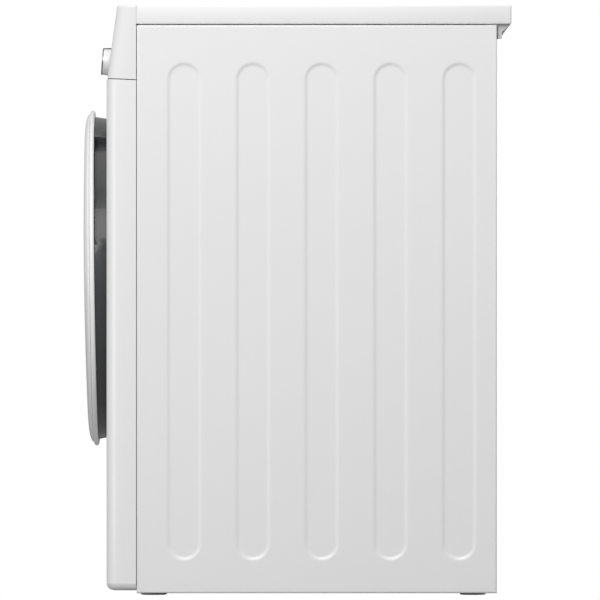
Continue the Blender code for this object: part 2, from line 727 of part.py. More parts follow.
def rollers():
    front = DRUM_FRONT_Y + 0.004
    rear = DRUM_REAR_Y - 0.006
    bore = AXLE_RADIUS + GAP
    for side, x in (("right", ROLLER_X), ("left", -ROLLER_X)):
        wheel(f"roller_front_{side}", x, ROLLER_Z, bore, ROLLER_RADIUS, front, front + ROLLER_WIDTH, RUBBER)
        wheel(f"roller_rear_{side}", x, ROLLER_Z, bore, ROLLER_RADIUS, rear - ROLLER_WIDTH, rear, RUBBER)


# ---- base, drive and heat pump ----
def foot_places():
    for end, y in (("front", FOOT_FRONT_Y), ("rear", FOOT_REAR_Y)):
        for side, x in (("right", FOOT_X), ("left", -FOOT_X)):
            yield f"{end}_{side}", x, y


def base_tray():
    half = SIDE_X - FOLD - 0.0010
    low = (-half, FRONT_Y + BASE_FRONT, BASE_Z)
    high = (half, REAR_FACE_Y - 0.0027, BASE_Z + BASE_HEIGHT)
    tray = box("base_tray", low, high, GREY_PLASTIC)
    inset = Vector((BASE_WALL, BASE_WALL, BASE_FLOOR))
    cut_box(tray, Vector(low) + inset, (high[0] - BASE_WALL, high[1] - BASE_WALL, high[2] + 0.01))
    bm = bmesh.new()
    for _, x, y in foot_places():
        cylinder_into(bm, (x, y, 0.0), 2.2 * FOOT_STEM, BASE_Z + 0.001, BASE_Z + 0.030, "Z", 12)
    post_y = BELT_Y + BELT_WIDTH / 2 + 0.0115
    low = (IDLER_PIVOT_X - 0.015, post_y, BASE_TOP - 0.001)
    box_into(bm, low, (IDLER_PIVOT_X + 0.015, post_y + 0.006, IDLER_PIVOT_Z + 0.015))
    join(tray, add_object("tray_bosses", bm, GREY_PLASTIC, CUTTERS))
    pin = (IDLER_PIVOT_X, 0.0, IDLER_PIVOT_Z)
    join(
        tray, cylinder("idler_pin", pin, IDLER_PIN, post_y - 0.0110, post_y + 0.001, ZINC, CUTTERS, steps=16)
    )
    bm = bmesh.new()
    for _, x, y in foot_places():
        cylinder_into(bm, (x, y, 0.0), FOOT_STEM + 2 * GAP, BASE_Z - 0.01, BASE_Z + 0.04, "Z", 12)
    cut(tray, add_object("foot_holes", bm, GREY_PLASTIC, CUTTERS))


def feet():
    for label, x, y in foot_places():
        pivot = add_pivot(f"foot_{label}_axis", (x, y, 0.0))
        pad, top = BASE_Z - GAP, BASE_Z + 0.034
        profile = [
            (0.0, 0.0), (FOOT_RADIUS - 0.002, 0.0), (FOOT_RADIUS, 0.002), (FOOT_RADIUS - 0.002, pad - 0.002)
        ]
        profile += [(2.0 * FOOT_STEM, pad), (FOOT_STEM, pad), (FOOT_STEM, top), (0.0, top)]
        bm = turned(profile, 16)
        bmesh.ops.rotate(bm, verts=bm.verts, matrix=Matrix.Rotation(pi / 2, 3, "X"))
        bmesh.ops.translate(bm, verts=bm.verts, vec=(x, y, 0.0))
        hang(add_object(f"foot_{label}", bm, BLACK_PLASTIC), pivot, pivot.location)


def hull_point(centre, radius, angle):
    return (centre[0] + radius * cos(angle), centre[1] + radius * sin(angle))


def belt_outline():
    """The belt's inner line: anticlockwise round the drum, the idler pulley and the motor pulley."""
    wheels = [
        ((0.0, DRUM_Z), DRUM_RADIUS, 60),
        ((IDLER_X, IDLER_Z), IDLER_RADIUS, 8),
        ((MOTOR_X, MOTOR_Z), PULLEY_RADIUS, 8),
    ]
    normals = []
    for i, (centre, radius, _) in enumerate(wheels):
        following, next_radius, _ = wheels[(i + 1) % len(wheels)]
        along = Vector(following) - Vector(centre)
        normals.append(atan2(along.y, along.x) - acos((radius - next_radius) / along.length))
    points = []
    for i, (centre, radius, steps) in enumerate(wheels):
        first, last = normals[i - 1], normals[i]
        while last < first:
            last += 2 * pi
        step = (last - first) / steps
        reach = (radius + GAP) / cos(step / 2)
        points += [hull_point(centre, reach, first + step * k) for k in range(steps + 1)]
    return points


def drive_belt():
    bm = bmesh.new()
    verts = [bm.verts.new((x, BELT_Y - BELT_WIDTH / 2, z)) for x, z in belt_outline()]
    loop = [bm.edges.new((verts[i - 1], verts[i])) for i in range(len(verts))]
    made = bmesh.ops.extrude_edge_only(bm, edges=loop)["geom"]
    bmesh.ops.translate(
        bm, verts=[v for v in made if isinstance(v, bmesh.types.BMVert)], vec=(0.0, BELT_WIDTH, 0.0)
    )
    belt = add_object("drive_belt", bm, RUBBER)
    crown = max(belt.data.polygons, key=lambda p: p.center.z)
    if crown.normal.z < 0:
        belt.data.flip_normals()
    thicken(belt, BELT_THICKNESS, 1.0)


def motor():
    front = BELT_Y - 0.015 - MOTOR_LENGTH
    rear = front + MOTOR_LENGTH
    bore = SHAFT_RADIUS + GAP
    r = MOTOR_RADIUS
    profile = [
        (bore, front), (0.6 * r, front), (r, front + 0.014), (r, rear - 0.014), (0.6 * r, rear), (bore, rear)
    ]
    body = add_object("motor", turned(profile, 32, (MOTOR_X, 0.0, MOTOR_Z)), ZINC)
    join_box(
        body, (MOTOR_X - 0.040, front + 0.02, BASE_TOP + GAP), (MOTOR_X + 0.040, rear - 0.02, MOTOR_Z - 0.035)
    )


def motor_shaft():
    pivot = add_pivot("motor_axis", (MOTOR_X, BELT_Y, MOTOR_Z))
    front = BELT_Y - 0.015 - MOTOR_LENGTH - 0.006
    near, far = BELT_Y - BELT_WIDTH / 2, BELT_Y + BELT_WIDTH / 2
    flange = PULLEY_RADIUS + BELT_THICKNESS + 0.001
    rear = FAN_Y + FAN_DEPTH - 0.010
    profile = [(0.0, front), (SHAFT_RADIUS, front), (SHAFT_RADIUS, near - 0.003), (flange, near - 0.003)]
    profile += [(flange, near - 0.001), (PULLEY_RADIUS, near - 0.001), (PULLEY_RADIUS, far + 0.001)]
    profile += [(flange, far + 0.001), (flange, far + 0.003), (SHAFT_RADIUS, far + 0.003)]
    profile += [(SHAFT_RADIUS, rear), (0.0, rear)]
    hang(
        add_object("motor_shaft", turned(profile, 16, (MOTOR_X, 0.0, MOTOR_Z)), STEEL), pivot, pivot.location
    )
    fan_impeller(pivot)


def fan_impeller(pivot):
    front, rear = FAN_Y + 0.008, FAN_Y + FAN_DEPTH - 0.012
    radius = FAN_RADIUS - 0.012
    bore = SHAFT_RADIUS + GAP
    profile = [
        (bore, front),
        (0.014, front),
        (0.014, rear - 0.003),
        (radius, rear - 0.003),
        (radius, rear),
        (bore, rear),
    ]
    wheel_body = add_object("fan_impeller", turned(profile, 32, (MOTOR_X, 0.0, MOTOR_Z)), WHITE_PLASTIC)
    bm = bmesh.new()
    for i in range(12):
        turn = Matrix.Rotation(2 * pi * i / 12, 4, "Y")
        verts = box_into(bm, (0.040, front, -0.001), (radius - 0.001, rear - 0.001, 0.001))
        bmesh.ops.transform(bm, matrix=Matrix.Translation((MOTOR_X, 0.0, MOTOR_Z)) @ turn, verts=verts)
    join(wheel_body, add_object("fan_blades", bm, WHITE_PLASTIC, CUTTERS))
    hang(wheel_body, pivot, pivot.location)


def fan_housing():
    front, rear, wall = FAN_Y, FAN_Y + FAN_DEPTH, 0.002
    profile = [
        (0.0, rear), (FAN_RADIUS, rear), (FAN_RADIUS, front), (FAN_INLET, front), (FAN_INLET, front + wall)
    ]
    profile += [(FAN_RADIUS - wall, front + wall), (FAN_RADIUS - wall, rear - wall), (0.0, rear - wall)]
    housing = add_object("fan_housing", turned(profile, 40, (MOTOR_X, 0.0, MOTOR_Z)), GREY_PLASTIC)
    low = (MOTOR_X - 0.060, front + 0.008, MOTOR_Z + 0.030)
    cut_box(housing, low, (MOTOR_X - 0.010, rear - 0.008, MOTOR_Z + FAN_RADIUS + 0.01))


def idler():
    pivot = add_pivot("idler_arm_axis", (IDLER_PIVOT_X, BELT_Y, IDLER_PIVOT_Z))
    near = BELT_Y + BELT_WIDTH / 2 + 0.0030
    start, end = Vector((IDLER_PIVOT_X, IDLER_PIVOT_Z)), Vector((IDLER_X, IDLER_Z))
    along = atan2(end.y - start.y, end.x - start.x)
    outline = [hull_point(end, 0.009, along - pi / 2 + pi * i / 8) for i in range(9)]
    outline += [hull_point(start, 0.009, along + pi / 2 + pi * i / 8) for i in range(9)]
    arm = prism("idler_arm", outline, near, near + 0.003, ZINC)
    axle = cylinder(
        "idler_axle",
        (IDLER_X, 0.0, IDLER_Z),
        IDLER_PIN,
        BELT_Y - 0.008,
        near + 0.001,
        ZINC,
        CUTTERS,
        steps=16,
    )
    join(arm, axle)
    cut_cylinder(
        arm, (IDLER_PIVOT_X, 0.0, IDLER_PIVOT_Z), IDLER_PIN + GAP, near - 0.01, near + 0.01, steps=16
    )
    hang(arm, pivot, pivot.location)
    bore = IDLER_PIN + GAP
    wheel(
        "idler_pulley",
        IDLER_X,
        IDLER_Z,
        bore,
        IDLER_RADIUS,
        BELT_Y - 0.007,
        BELT_Y + 0.007,
        BLACK_PLASTIC,
        24,
    )


def exchanger(name, y, material):
    half = EXCHANGER_WIDTH / 2
    low_z = BASE_TOP + GAP
    core = box(
        name,
        (EXCHANGER_X - half + 0.004, y, low_z + 0.002),
        (EXCHANGER_X + half - 0.004, y + EXCHANGER_LENGTH, low_z + EXCHANGER_HEIGHT - 0.004),
        material,
    )
    bm = bmesh.new()
    for side in (-1, 1):
        edge = EXCHANGER_X + side * half
        low, high = sorted((edge, edge - side * 0.006))
        box_into(bm, (low, y - 0.002, low_z), (high, y + EXCHANGER_LENGTH + 0.002, low_z + EXCHANGER_HEIGHT))
    join(core, add_object(f"{name}_plates", bm, material, CUTTERS))


def compressor():
    low = BASE_TOP + GAP
    r, top = COMPRESSOR_RADIUS, low + COMPRESSOR_HEIGHT
    profile = [(0.0, top), (0.3 * r, top), (0.8 * r, top - 0.012), (r, top - 0.035), (r, low + 0.020)]
    profile += [(0.8 * r, low + 0.006), (0.8 * r, low), (0.0, low)]
    bm = turned(profile, 32)
    bmesh.ops.rotate(bm, verts=bm.verts, matrix=Matrix.Rotation(pi / 2, 3, "X"))
    bmesh.ops.translate(bm, verts=bm.verts, vec=(COMPRESSOR_X, COMPRESSOR_Y, 0.0))
    add_object("compressor", bm, BLACK_PLASTIC)


def pipe(name, points, radius, material):
    curve = bpy.data.curves.new(name, "CURVE")
    curve.dimensions = "3D"
    curve.bevel_depth = radius
    curve.bevel_resolution = 2
    curve.use_fill_caps = True
    spline = curve.splines.new("POLY")
    spline.points.add(len(points) - 1)
    for point, place in zip(spline.points, points):
        point.co = (*place, 1.0)
    curve.materials.append(material)
    obj = bpy.data.objects.new(name, curve)
    PARTS.objects.link(obj)


def refrigerant_pipe():
    """From the compressor's side, in a half loop, to the top of the condenser's end plate."""
    x, y = COMPRESSOR_X + COMPRESSOR_RADIUS + 0.004, COMPRESSOR_Y
    z, loop = BASE_TOP + 0.095, 0.028
    far = EXCHANGER_FRONT_Y + 2 * EXCHANGER_LENGTH + EXCHANGER_SPACING + 0.006
    points = [(x, y, z), (x + 0.010, y, z)]
    for i in range(9):
        angle = -pi / 2 + pi * i / 8
        points.append(
            (x + 0.010 + 0.5 * loop * (1 + sin(angle)), y - 0.5 * loop * (1 - cos(angle)), z + 0.004 * i)
        )
    points += [(x + 0.004, far + 0.020, z + 0.036), (x - 0.010, far + 0.004, z + 0.036)]
    pipe("refrigerant_pipe", points, 0.0030, COPPER)


def condensate_pump():
    low, half = BASE_TOP + GAP, PUMP_SIZE / 2
    near = (PUMP_X - half, PUMP_Y - half, low)
    far = (PUMP_X + half, PUMP_Y + half, low + PUMP_HEIGHT)
    pump = box("condensate_pump", near, far, BLACK_PLASTIC, bevel=0.003)
    start, end = low + PUMP_HEIGHT - 0.005, low + PUMP_HEIGHT + PUMP_SPOUT_HEIGHT
    place = (PUMP_X, PUMP_Y, 0.0)
    join(pump, cylinder("pump_spout", place, PUMP_SPOUT, start, end, BLACK_PLASTIC, CUTTERS, "Z", 16))


# ---- water tank and lint filter ----
def tank_tray():
    low = (TANK_LEFT - RUN - TRAY_WALL, FRONT_BULKHEAD_Y + 0.003, TRAY_Z)
    high = (TANK_RIGHT + RUN + TRAY_WALL, FRONT_BULKHEAD_Y + TANK_LENGTH, TANK_TOP_Z - 0.004)
    tray = box("tank_tray", low, high, GREY_PLASTIC)
    hollow = (low[0] + TRAY_WALL, low[1] - 0.01, low[2] + TRAY_WALL)
    cut_box(tray, hollow, (high[0] - TRAY_WALL, high[1] - TRAY_WALL, high[2] + 0.01))


def water_tank():
    pivot = add_pivot("water_tank_slide", (TANK_LEFT, FRONT_Y, TANK_BOTTOM_Z))
    low_z, high_z, wall = tank_front_low(), tank_front_high(), 0.0060
    outline = [
        (console_y(low_z), low_z),
        (console_y(low_z) + wall, low_z),
        (console_y(high_z) + wall, high_z),
        (console_y(high_z), high_z),
    ]
    front = prism("water_tank", outline, tank_front_left(), TANK_RIGHT + 0.004, WHITE_PLASTIC, axis="X")
    rear = FRONT_BULKHEAD_Y + TANK_LENGTH - TRAY_WALL - RUN
    low = (TANK_LEFT, console_y(high_z) + 0.001, TANK_BOTTOM_Z)
    join_box(front, low, (TANK_RIGHT, rear, TANK_TOP_Z))
    near = console_y(high_z) + wall + 0.004
    inner_low = (TANK_LEFT + TANK_WALL, near, TANK_BOTTOM_Z + TANK_WALL)
    cut_box(front, inner_low, (TANK_RIGHT - TANK_WALL, rear - TANK_WALL, TANK_TOP_Z - TANK_WALL))
    filler = ((TANK_LEFT + TANK_RIGHT) / 2, rear - 0.045, 0.0)
    cut_cylinder(front, filler, 0.016, TANK_TOP_Z - 0.010, TANK_TOP_Z + 0.010, "Z")
    grip_x = (tank_front_left() + TANK_RIGHT) / 2
    grip = (grip_x - 0.045, console_y(low_z) - 0.01, low_z - 0.01)
    cut_box(front, grip, (grip_x + 0.045, console_y(low_z) + 0.0045, low_z + 0.012))
    hang(front, pivot, pivot.location)


def lint_filter():
    pivot = add_pivot("lint_filter_slide", (0.0, FILTER_REAR_Y, FILTER_BOTTOM_Z))
    half = FILTER_WIDTH / 2
    top = DOOR_Z - MOUTH_RADIUS + 0.018
    low = (-half, FILTER_REAR_Y - FILTER_THICKNESS, FILTER_BOTTOM_Z)
    frame = box("lint_filter", low, (half, FILTER_REAR_Y, top), WHITE_PLASTIC)
    pocket_low = (-half + 0.008, low[1] + 0.0025, FILTER_BOTTOM_Z + 0.008)
    cut_box(frame, pocket_low, (half - 0.008, FILTER_REAR_Y - 0.0025, top + 0.01))
    hang(frame, pivot, pivot.location)


# ---- door ----
def lean_door(obj, back, front):
    """Leans the door's front forward at the top; its back stays flat against the cabinet."""
    for vert in obj.data.vertices:
        share = min(max((back - vert.co.y) / (back - front), 0.0), 1.0)
        vert.co.y -= (vert.co.z - DOOR_Z) * tan(DOOR_LEAN) * share


def door_turned(name, profile, material):
    return add_object(name, turned(profile, DOOR_STEPS, (0.0, 0.0, DOOR_Z)), material)


def door_parts():
    place = (HINGE_X, HINGE_Y, DOOR_Z)
    pivot = add_pivot("door_axis", place)
    back = FRONT_Y - 0.0005
    rim_back = FRONT_Y - HOUSING_DEPTH
    rim_front = rim_back - RIM_THICKNESS
    housing_front = rim_back + GAP
    rear_radius = RIM_RADIUS - HOUSING_REAR_INSET
    front_radius = RIM_RADIUS - HOUSING_FRONT_INSET
    inner = rear_radius - HOUSING_WALL
    hole = BOWL_RADIUS + 0.0008
    profile = [(hole, back), (rear_radius, back), (front_radius, housing_front), (inner, housing_front)]
    profile += [(inner, back - HOUSING_BACK), (hole, back - HOUSING_BACK)]
    housing = door_turned("door_housing", profile, DARK_GLOSS)
    lean_door(housing, back - HOUSING_BACK, housing_front)
    door_grip(housing, rear_radius, back, housing_front)
    notch = (-front_radius - 0.01, HINGE_Y - 0.0034, DOOR_Z - LEAF_HALF_HEIGHT + 0.0015)
    cut_box(housing, notch, (-inner + 0.01, HINGE_Y + 0.0034, DOOR_Z + LEAF_HALF_HEIGHT - 0.0015))

    r, lip = RIM_RADIUS, 0.0016
    profile = [(r - RIM_WIDTH, rim_back), (r - lip, rim_back), (r, rim_back - lip), (r, rim_front + 2 * lip)]
    profile += [(r - lip, rim_front + lip / 2), (r - 2 * lip, rim_front), (r - RIM_WIDTH, rim_front)]
    rim = door_turned("door_rim", profile, WHITE_PLASTIC)
    lean_door(rim, rim_back + 1.0, rim_back + 0.999)

    cover = door_cover(rim_front - GAP)
    lean_door(cover, rim_back + 1.0, rim_back + 0.999)

    bowl = door_bowl(back)
    seal_profile = [(BOWL_RADIUS + 0.0015, back + GAP), (MOUTH_RADIUS - 0.0020, back + GAP)]
    seal_profile += [(MOUTH_RADIUS - 0.0020, back + 0.0080), (BOWL_RADIUS + 0.0015, back + 0.0080)]
    seal = door_turned("door_seal", seal_profile, RUBBER)
    hook = latch_hook(back)
    leaf = hinge_leaf(inner)
    for piece in (housing, rim, cover, bowl, seal, hook, leaf):
        hang(piece, pivot, place)


def door_grip(housing, rear_radius, back, front):
    inner, outer = rear_radius - GRIP_DEPTH, RIM_RADIUS + 0.01
    near, far = front - 0.01, back + 0.01
    profile = [(inner, far), (outer, far), (outer, near), (inner, near)]
    bm = turned(profile, 12, (0.0, 0.0, DOOR_Z), GRIP_END - GRIP_START, GRIP_START)
    cut(housing, add_object("grip_cutter", bm, DARK_GLOSS, CUTTERS))


def door_cover(back):
    """A gentle dome with a rounded edge; its apex reaches the door's full depth once it leans."""
    reach = DOME_RADIUS * tan(DOOR_LEAN) ** 2 / 2
    apex = FRONT_Y - DOOR_DEPTH + reach
    edge = RIM_RADIUS - COVER_INSET
    shoulder = edge - 0.0160
    front = [(0.0, apex)]
    for i in range(1, 4):
        radius = shoulder * i / 3
        front.append((radius, apex + radius**2 / (2 * DOME_RADIUS)))
    shoulder_y = front[-1][1]
    for i in range(1, 4):
        angle = pi / 2 * i / 3
        front.append(
            (shoulder + (edge - shoulder) * sin(angle), shoulder_y + (back - shoulder_y) * (1 - cos(angle)))
        )
    inner = [(radius, y + COVER_WALL) for radius, y in front[:4]]
    rear = [(edge - 0.0030, back), *reversed(inner)]
    return door_turned("door_cover", front + rear, WHITE_PLASTIC)


def door_bowl(back):
    flange_front = back - HOUSING_BACK - GAP - BOWL_WALL
    flange = BOWL_RADIUS + 0.0200
    end = FRONT_Y + BOWL_DEPTH
    profile = [
        (0.0, end), (BOWL_END_RADIUS - 0.008, end), (BOWL_END_RADIUS, end - 0.006), (BOWL_RADIUS, back)
    ]
    profile += [
        (BOWL_RADIUS, flange_front + BOWL_WALL), (flange, flange_front + BOWL_WALL), (flange, flange_front)
    ]
    profile += [(BOWL_RADIUS - BOWL_WALL, flange_front), (BOWL_RADIUS - BOWL_WALL, back)]
    profile += [
        (BOWL_END_RADIUS - BOWL_WALL, end - 0.007),
        (BOWL_END_RADIUS - 0.010, end - BOWL_WALL),
        (0.0, end - BOWL_WALL),
    ]
    return door_turned("door_bowl", profile, SMOKED)


def latch_hook(back):
    """An L-shaped hook on the door's back, which reaches through the front panel."""
    x, y = LATCH_X, back + GAP
    outline = [
        (x - 0.003, y), (x + 0.004, y), (x + 0.004, y + 0.013), (x + 0.006, y + 0.016), (x + 0.002, y + 0.020)
    ]
    outline += [(x - 0.003, y + 0.020)]
    return prism("latch_hook", outline, DOOR_Z - 0.012, DOOR_Z + 0.012, ZINC, axis="Z")


def door_catch():
    y = FRONT_Y + SHEET + GAP
    low = (LATCH_X - 0.0130, y, DOOR_Z - 0.030)
    catch = box("door_catch", low, (LATCH_X + 0.0300, y + 0.034, DOOR_Z + 0.030), BLACK_PLASTIC)
    cut_box(catch, (LATCH_X - 0.008, y - 0.01, DOOR_Z - 0.018), (LATCH_X + 0.012, y + 0.026, DOOR_Z + 0.018))


def hinge_plate():
    back = FRONT_Y - GAP
    plate_top = back - 0.0012
    half = LEAF_HALF_HEIGHT + 0.0005 + LUG_HEIGHT
    low = (HINGE_X - 0.018, plate_top, DOOR_Z - half - 0.004)
    plate = box("hinge_plate", low, (HINGE_X + HINGE_BARREL, back, DOOR_Z + half + 0.004), STEEL)
    bm = bmesh.new()
    for side in (-1, 1):
        near, far = sorted((DOOR_Z + side * (LEAF_HALF_HEIGHT + 0.0005), DOOR_Z + side * half))
        cylinder_into(bm, (HINGE_X, HINGE_Y, 0.0), HINGE_BARREL, near, far, "Z", 20)
    lugs = add_object("hinge_barrels", bm, STEEL, CUTTERS)
    join(plate, lugs)
    bm = bmesh.new()
    for side in (-1, 1):
        near, far = sorted((DOOR_Z + side * (LEAF_HALF_HEIGHT + 0.0005), DOOR_Z + side * half))
        box_into(
            bm,
            (HINGE_X - HINGE_BARREL, HINGE_Y, near),
            (HINGE_X + HINGE_BARREL - 0.0006, plate_top + 0.0006, far),
        )
    join(plate, add_object("hinge_lugs", bm, STEEL, CUTTERS))
    low_z, high_z = DOOR_Z - half + 0.001, DOOR_Z + half - 0.001
    pin = cylinder("hinge_pin", (HINGE_X, HINGE_Y, 0.0), HINGE_PIN, low_z, high_z, STEEL, CUTTERS, "Z", 16)
    join(plate, pin)


def hinge_leaf(inner):
    low_z, high_z = DOOR_Z - LEAF_HALF_HEIGHT, DOOR_Z + LEAF_HALF_HEIGHT
    leaf = cylinder(
        "hinge_leaf", (HINGE_X, HINGE_Y, 0.0), HINGE_BARREL, low_z, high_z, STEEL, axis="Z", steps=20
    )
    arm = 0.0017
    low = (HINGE_X, HINGE_Y - arm, low_z + 0.003)
    join_box(leaf, low, (-inner + 0.040, HINGE_Y + arm, high_z - 0.003))
    cut_cylinder(leaf, (HINGE_X, HINGE_Y, 0.0), HINGE_PIN + GAP, low_z - 0.01, high_z + 0.01, "Z", 16)
    return leaf


# ---- controls ----
def program_knob():
    """A conical grip whose skirt sits in the fascia, with its shaft behind."""
    matrix = console_matrix(0.0, KNOB_Z, KNOB_LEAN)
    pivot = bpy.data.objects.new("program_knob_axis", None)
    pivot.matrix_world = matrix
    PARTS.objects.link(pivot)
    tip, skirt, shaft = -KNOB_LENGTH, 0.0030, 0.0180
    profile = [
        (0.0, tip), (KNOB_TIP_RADIUS - 0.0015, tip), (KNOB_TIP_RADIUS, tip + 0.0012), (KNOB_RADIUS, skirt)
    ]
    profile += [(0.0040, skirt), (0.0040, shaft), (0.0, shaft)]
    knob = add_object("program_knob", turned(profile, 32), SILVER)
    knob.parent = pivot


def button(name, x, z, round_radius=None):
    pivot = bpy.data.objects.new(f"{name}_slide", None)
    pivot.matrix_world = console_matrix(x, z)
    PARTS.objects.link(pivot)
    front, rear = -BUTTON_PROUD, BUTTON_THICKNESS
    if round_radius:
        profile = [
            (0.0, front), (round_radius - 0.001, front), (round_radius, front + 0.001), (round_radius, rear)
        ]
        profile += [(0.003, rear), (0.003, rear + 0.006), (0.0, rear + 0.006)]
        piece = add_object(name, turned(profile, 20), SILVER)
    else:
        half_x, half_z = OPTION_WIDTH / 2, OPTION_HEIGHT / 2
        piece = box(name, (-half_x, front, -half_z), (half_x, rear, half_z), WHITE_PLASTIC, bevel=0.0008)
    piece.parent = pivot


def display_lens():
    half_x, half_z = DISPLAY_WIDTH / 2, DISPLAY_HEIGHT / 2
    lens = box("display_lens", (-half_x, 0.0002, -half_z), (half_x, 0.0022, half_z), SMOKED)
    lens.data.transform(console_matrix(DISPLAY_X, DISPLAY_Z))


def control_board():
    y = FRONT_BULKHEAD_Y - 0.010
    low = (DISPLAY_X - 0.090, y, PARTING_Z + 0.004)
    high = (SIDE_X - 0.030, y + 0.0016, TOP_Z - 0.008)
    board = box("control_board", low, high, BOARD)
    join_box(
        board,
        (DISPLAY_X - 0.05, y - 0.008, DISPLAY_Z - 0.012),
        (DISPLAY_X + 0.05, y + 0.001, DISPLAY_Z + 0.012),
    )


# ---- service flap and small pieces ----
def service_flap():
    axis_z = FLAP_Z + FLAP_AXIS_RISE
    pivot = add_pivot("service_flap_axis", (FLAP_X, FRONT_Y + FLAP_AXIS_DEPTH, axis_z))
    half = FLAP_WIDTH / 2
    low = (FLAP_X - half, FRONT_Y, FLAP_Z)
    flap = box(
        "service_flap", low, (FLAP_X + half, FRONT_Y + FLAP_THICKNESS, FLAP_Z + FLAP_HEIGHT), WHITE_PLASTIC
    )
    grip = (FLAP_X - 0.030, FRONT_Y - 0.01, FLAP_Z + FLAP_HEIGHT - 0.014)
    cut_box(flap, grip, (FLAP_X + 0.030, FRONT_Y + 0.0025, FLAP_Z + FLAP_HEIGHT + 0.01))
    hang(flap, pivot, pivot.location)


def drum_lamp():
    """A round lens in the upper part of the front bulkhead's back, above the mouth."""
    z = DOOR_Z + MOUTH_RADIUS + 0.024
    y = FRONT_BULKHEAD_Y + BULKHEAD + GAP
    profile = [(0.0, y), (0.012, y), (0.012, y + 0.003), (0.009, y + 0.005), (0.0, y + 0.006)]
    add_object("drum_lamp", turned(profile, 24, (0.0, 0.0, z)), SMOKED)


def cord_inlet():
    y = REAR_FACE_Y + GAP
    x, z = SIDE_X - 0.080, 0.085
    low, high = (x - 0.020, y, z - 0.014), (x + 0.020, y + 0.008, z + 0.014)
    inlet = box("cord_inlet", low, high, BLACK_PLASTIC, bevel=0.002)
    cut_cylinder(inlet, (x, 0.0, z), 0.0045, y + 0.002, y + 0.02, steps=16)


def drain_spigot():
    y = REAR_FACE_Y + GAP
    x, z = -SIDE_X + 0.080, 0.085
    collar, end = y + 0.003, y + 0.009
    profile = [(0.0050, y), (0.0140, y), (0.0140, collar), (0.0080, collar), (0.0080, end), (0.0050, end)]
    add_object("drain_spigot", turned(profile, 24, (x, 0.0, z)), GREY_PLASTIC)


def build():
    side_panel("side_panel_right", 1)
    side_panel("side_panel_left", -1)
    rear_panel()
    front_panel()
    console_fascia()
    worktop()
    worktop_bracket("worktop_bracket_right", 1)
    worktop_bracket("worktop_bracket_left", -1)
    cross_brace()
    front_bulkhead()
    rear_bulkhead()
    drum_seal()
    drum_axis = add_pivot("drum_axis", (0.0, (DRUM_FRONT_Y + DRUM_REAR_Y) / 2, DRUM_Z))
    drum(drum_axis)
    drum_lifters(drum_axis)
    rollers()
    base_tray()
    feet()
    drive_belt()
    motor()
    motor_shaft()
    fan_housing()
    idler()
    exchanger("evaporator", EXCHANGER_FRONT_Y, ALUMINIUM)
    exchanger("condenser", EXCHANGER_FRONT_Y + EXCHANGER_LENGTH + EXCHANGER_SPACING, ALUMINIUM)
    compressor()
    refrigerant_pipe()
    condensate_pump()
    tank_tray()
    water_tank()
    lint_filter()
    door_parts()
    door_catch()
    hinge_plate()
    program_knob()
    button("power_button", POWER_X, KNOB_Z, ROUND_BUTTON_RADIUS)
    button("start_button", START_X, KNOB_Z, ROUND_BUTTON_RADIUS)
    for i, x in enumerate(OPTION_X):
        button(f"option_button_{i + 1}", x, option_z())
    display_lens()
    control_board()
    service_flap()
    drum_lamp()
    cord_inlet()
    drain_spigot()


build()
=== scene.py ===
"""Free-standing clothes dryer: the finished surfaces of every piece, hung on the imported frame."""

from math import cos, pi, radians, sin, tan

import bmesh
import bpy
from mathutils import Matrix, Vector


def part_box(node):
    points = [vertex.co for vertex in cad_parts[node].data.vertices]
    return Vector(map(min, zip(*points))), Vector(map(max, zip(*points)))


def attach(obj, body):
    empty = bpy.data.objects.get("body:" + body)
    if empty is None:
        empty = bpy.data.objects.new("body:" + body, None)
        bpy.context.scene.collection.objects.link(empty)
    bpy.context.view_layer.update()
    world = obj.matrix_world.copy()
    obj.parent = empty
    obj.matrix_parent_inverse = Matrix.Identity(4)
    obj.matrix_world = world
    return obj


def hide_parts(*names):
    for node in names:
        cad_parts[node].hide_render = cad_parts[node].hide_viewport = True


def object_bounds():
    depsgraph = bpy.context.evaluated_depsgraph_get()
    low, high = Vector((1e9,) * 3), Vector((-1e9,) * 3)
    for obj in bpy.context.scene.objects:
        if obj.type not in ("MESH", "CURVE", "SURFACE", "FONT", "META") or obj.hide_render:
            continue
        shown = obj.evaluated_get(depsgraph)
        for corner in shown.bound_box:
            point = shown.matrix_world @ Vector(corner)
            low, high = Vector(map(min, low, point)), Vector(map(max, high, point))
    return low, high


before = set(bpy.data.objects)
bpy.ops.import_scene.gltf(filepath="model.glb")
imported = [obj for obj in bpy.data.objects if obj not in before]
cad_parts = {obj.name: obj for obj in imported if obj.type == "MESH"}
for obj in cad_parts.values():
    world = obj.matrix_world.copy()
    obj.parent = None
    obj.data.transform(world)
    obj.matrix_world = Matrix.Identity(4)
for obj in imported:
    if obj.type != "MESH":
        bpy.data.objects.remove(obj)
cad_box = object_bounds()

# ------------------------------------------------------------------------------------------
# Studio: a pale floor that the machine stands on, soft boxes in front and above, and a long
# lens that looks square on at the right-hand side panel.
scene = bpy.context.scene
scene.view_settings.view_transform = "Standard"

VIEW_DISTANCE = 16.0
VIEW_WIDTH = 0.8636  # what the lens takes in at the side panel
VIEW_Y = 0.00595
VIEW_Z = 0.4251
SENSOR_WIDTH = 36.0
side_x = cad_box[1][0]
camera_data = bpy.data.cameras.new("studio_camera")
camera_data.sensor_width = SENSOR_WIDTH
camera_data.lens = SENSOR_WIDTH * VIEW_DISTANCE / VIEW_WIDTH
camera_data.clip_start = 0.5
camera_data.clip_end = 60.0
camera = bpy.data.objects.new("studio_camera", camera_data)
camera.location = (side_x + VIEW_DISTANCE, VIEW_Y, VIEW_Z)
camera.rotation_euler = (pi / 2, 0.0, pi / 2)
scene.collection.objects.link(camera)
scene.camera = camera

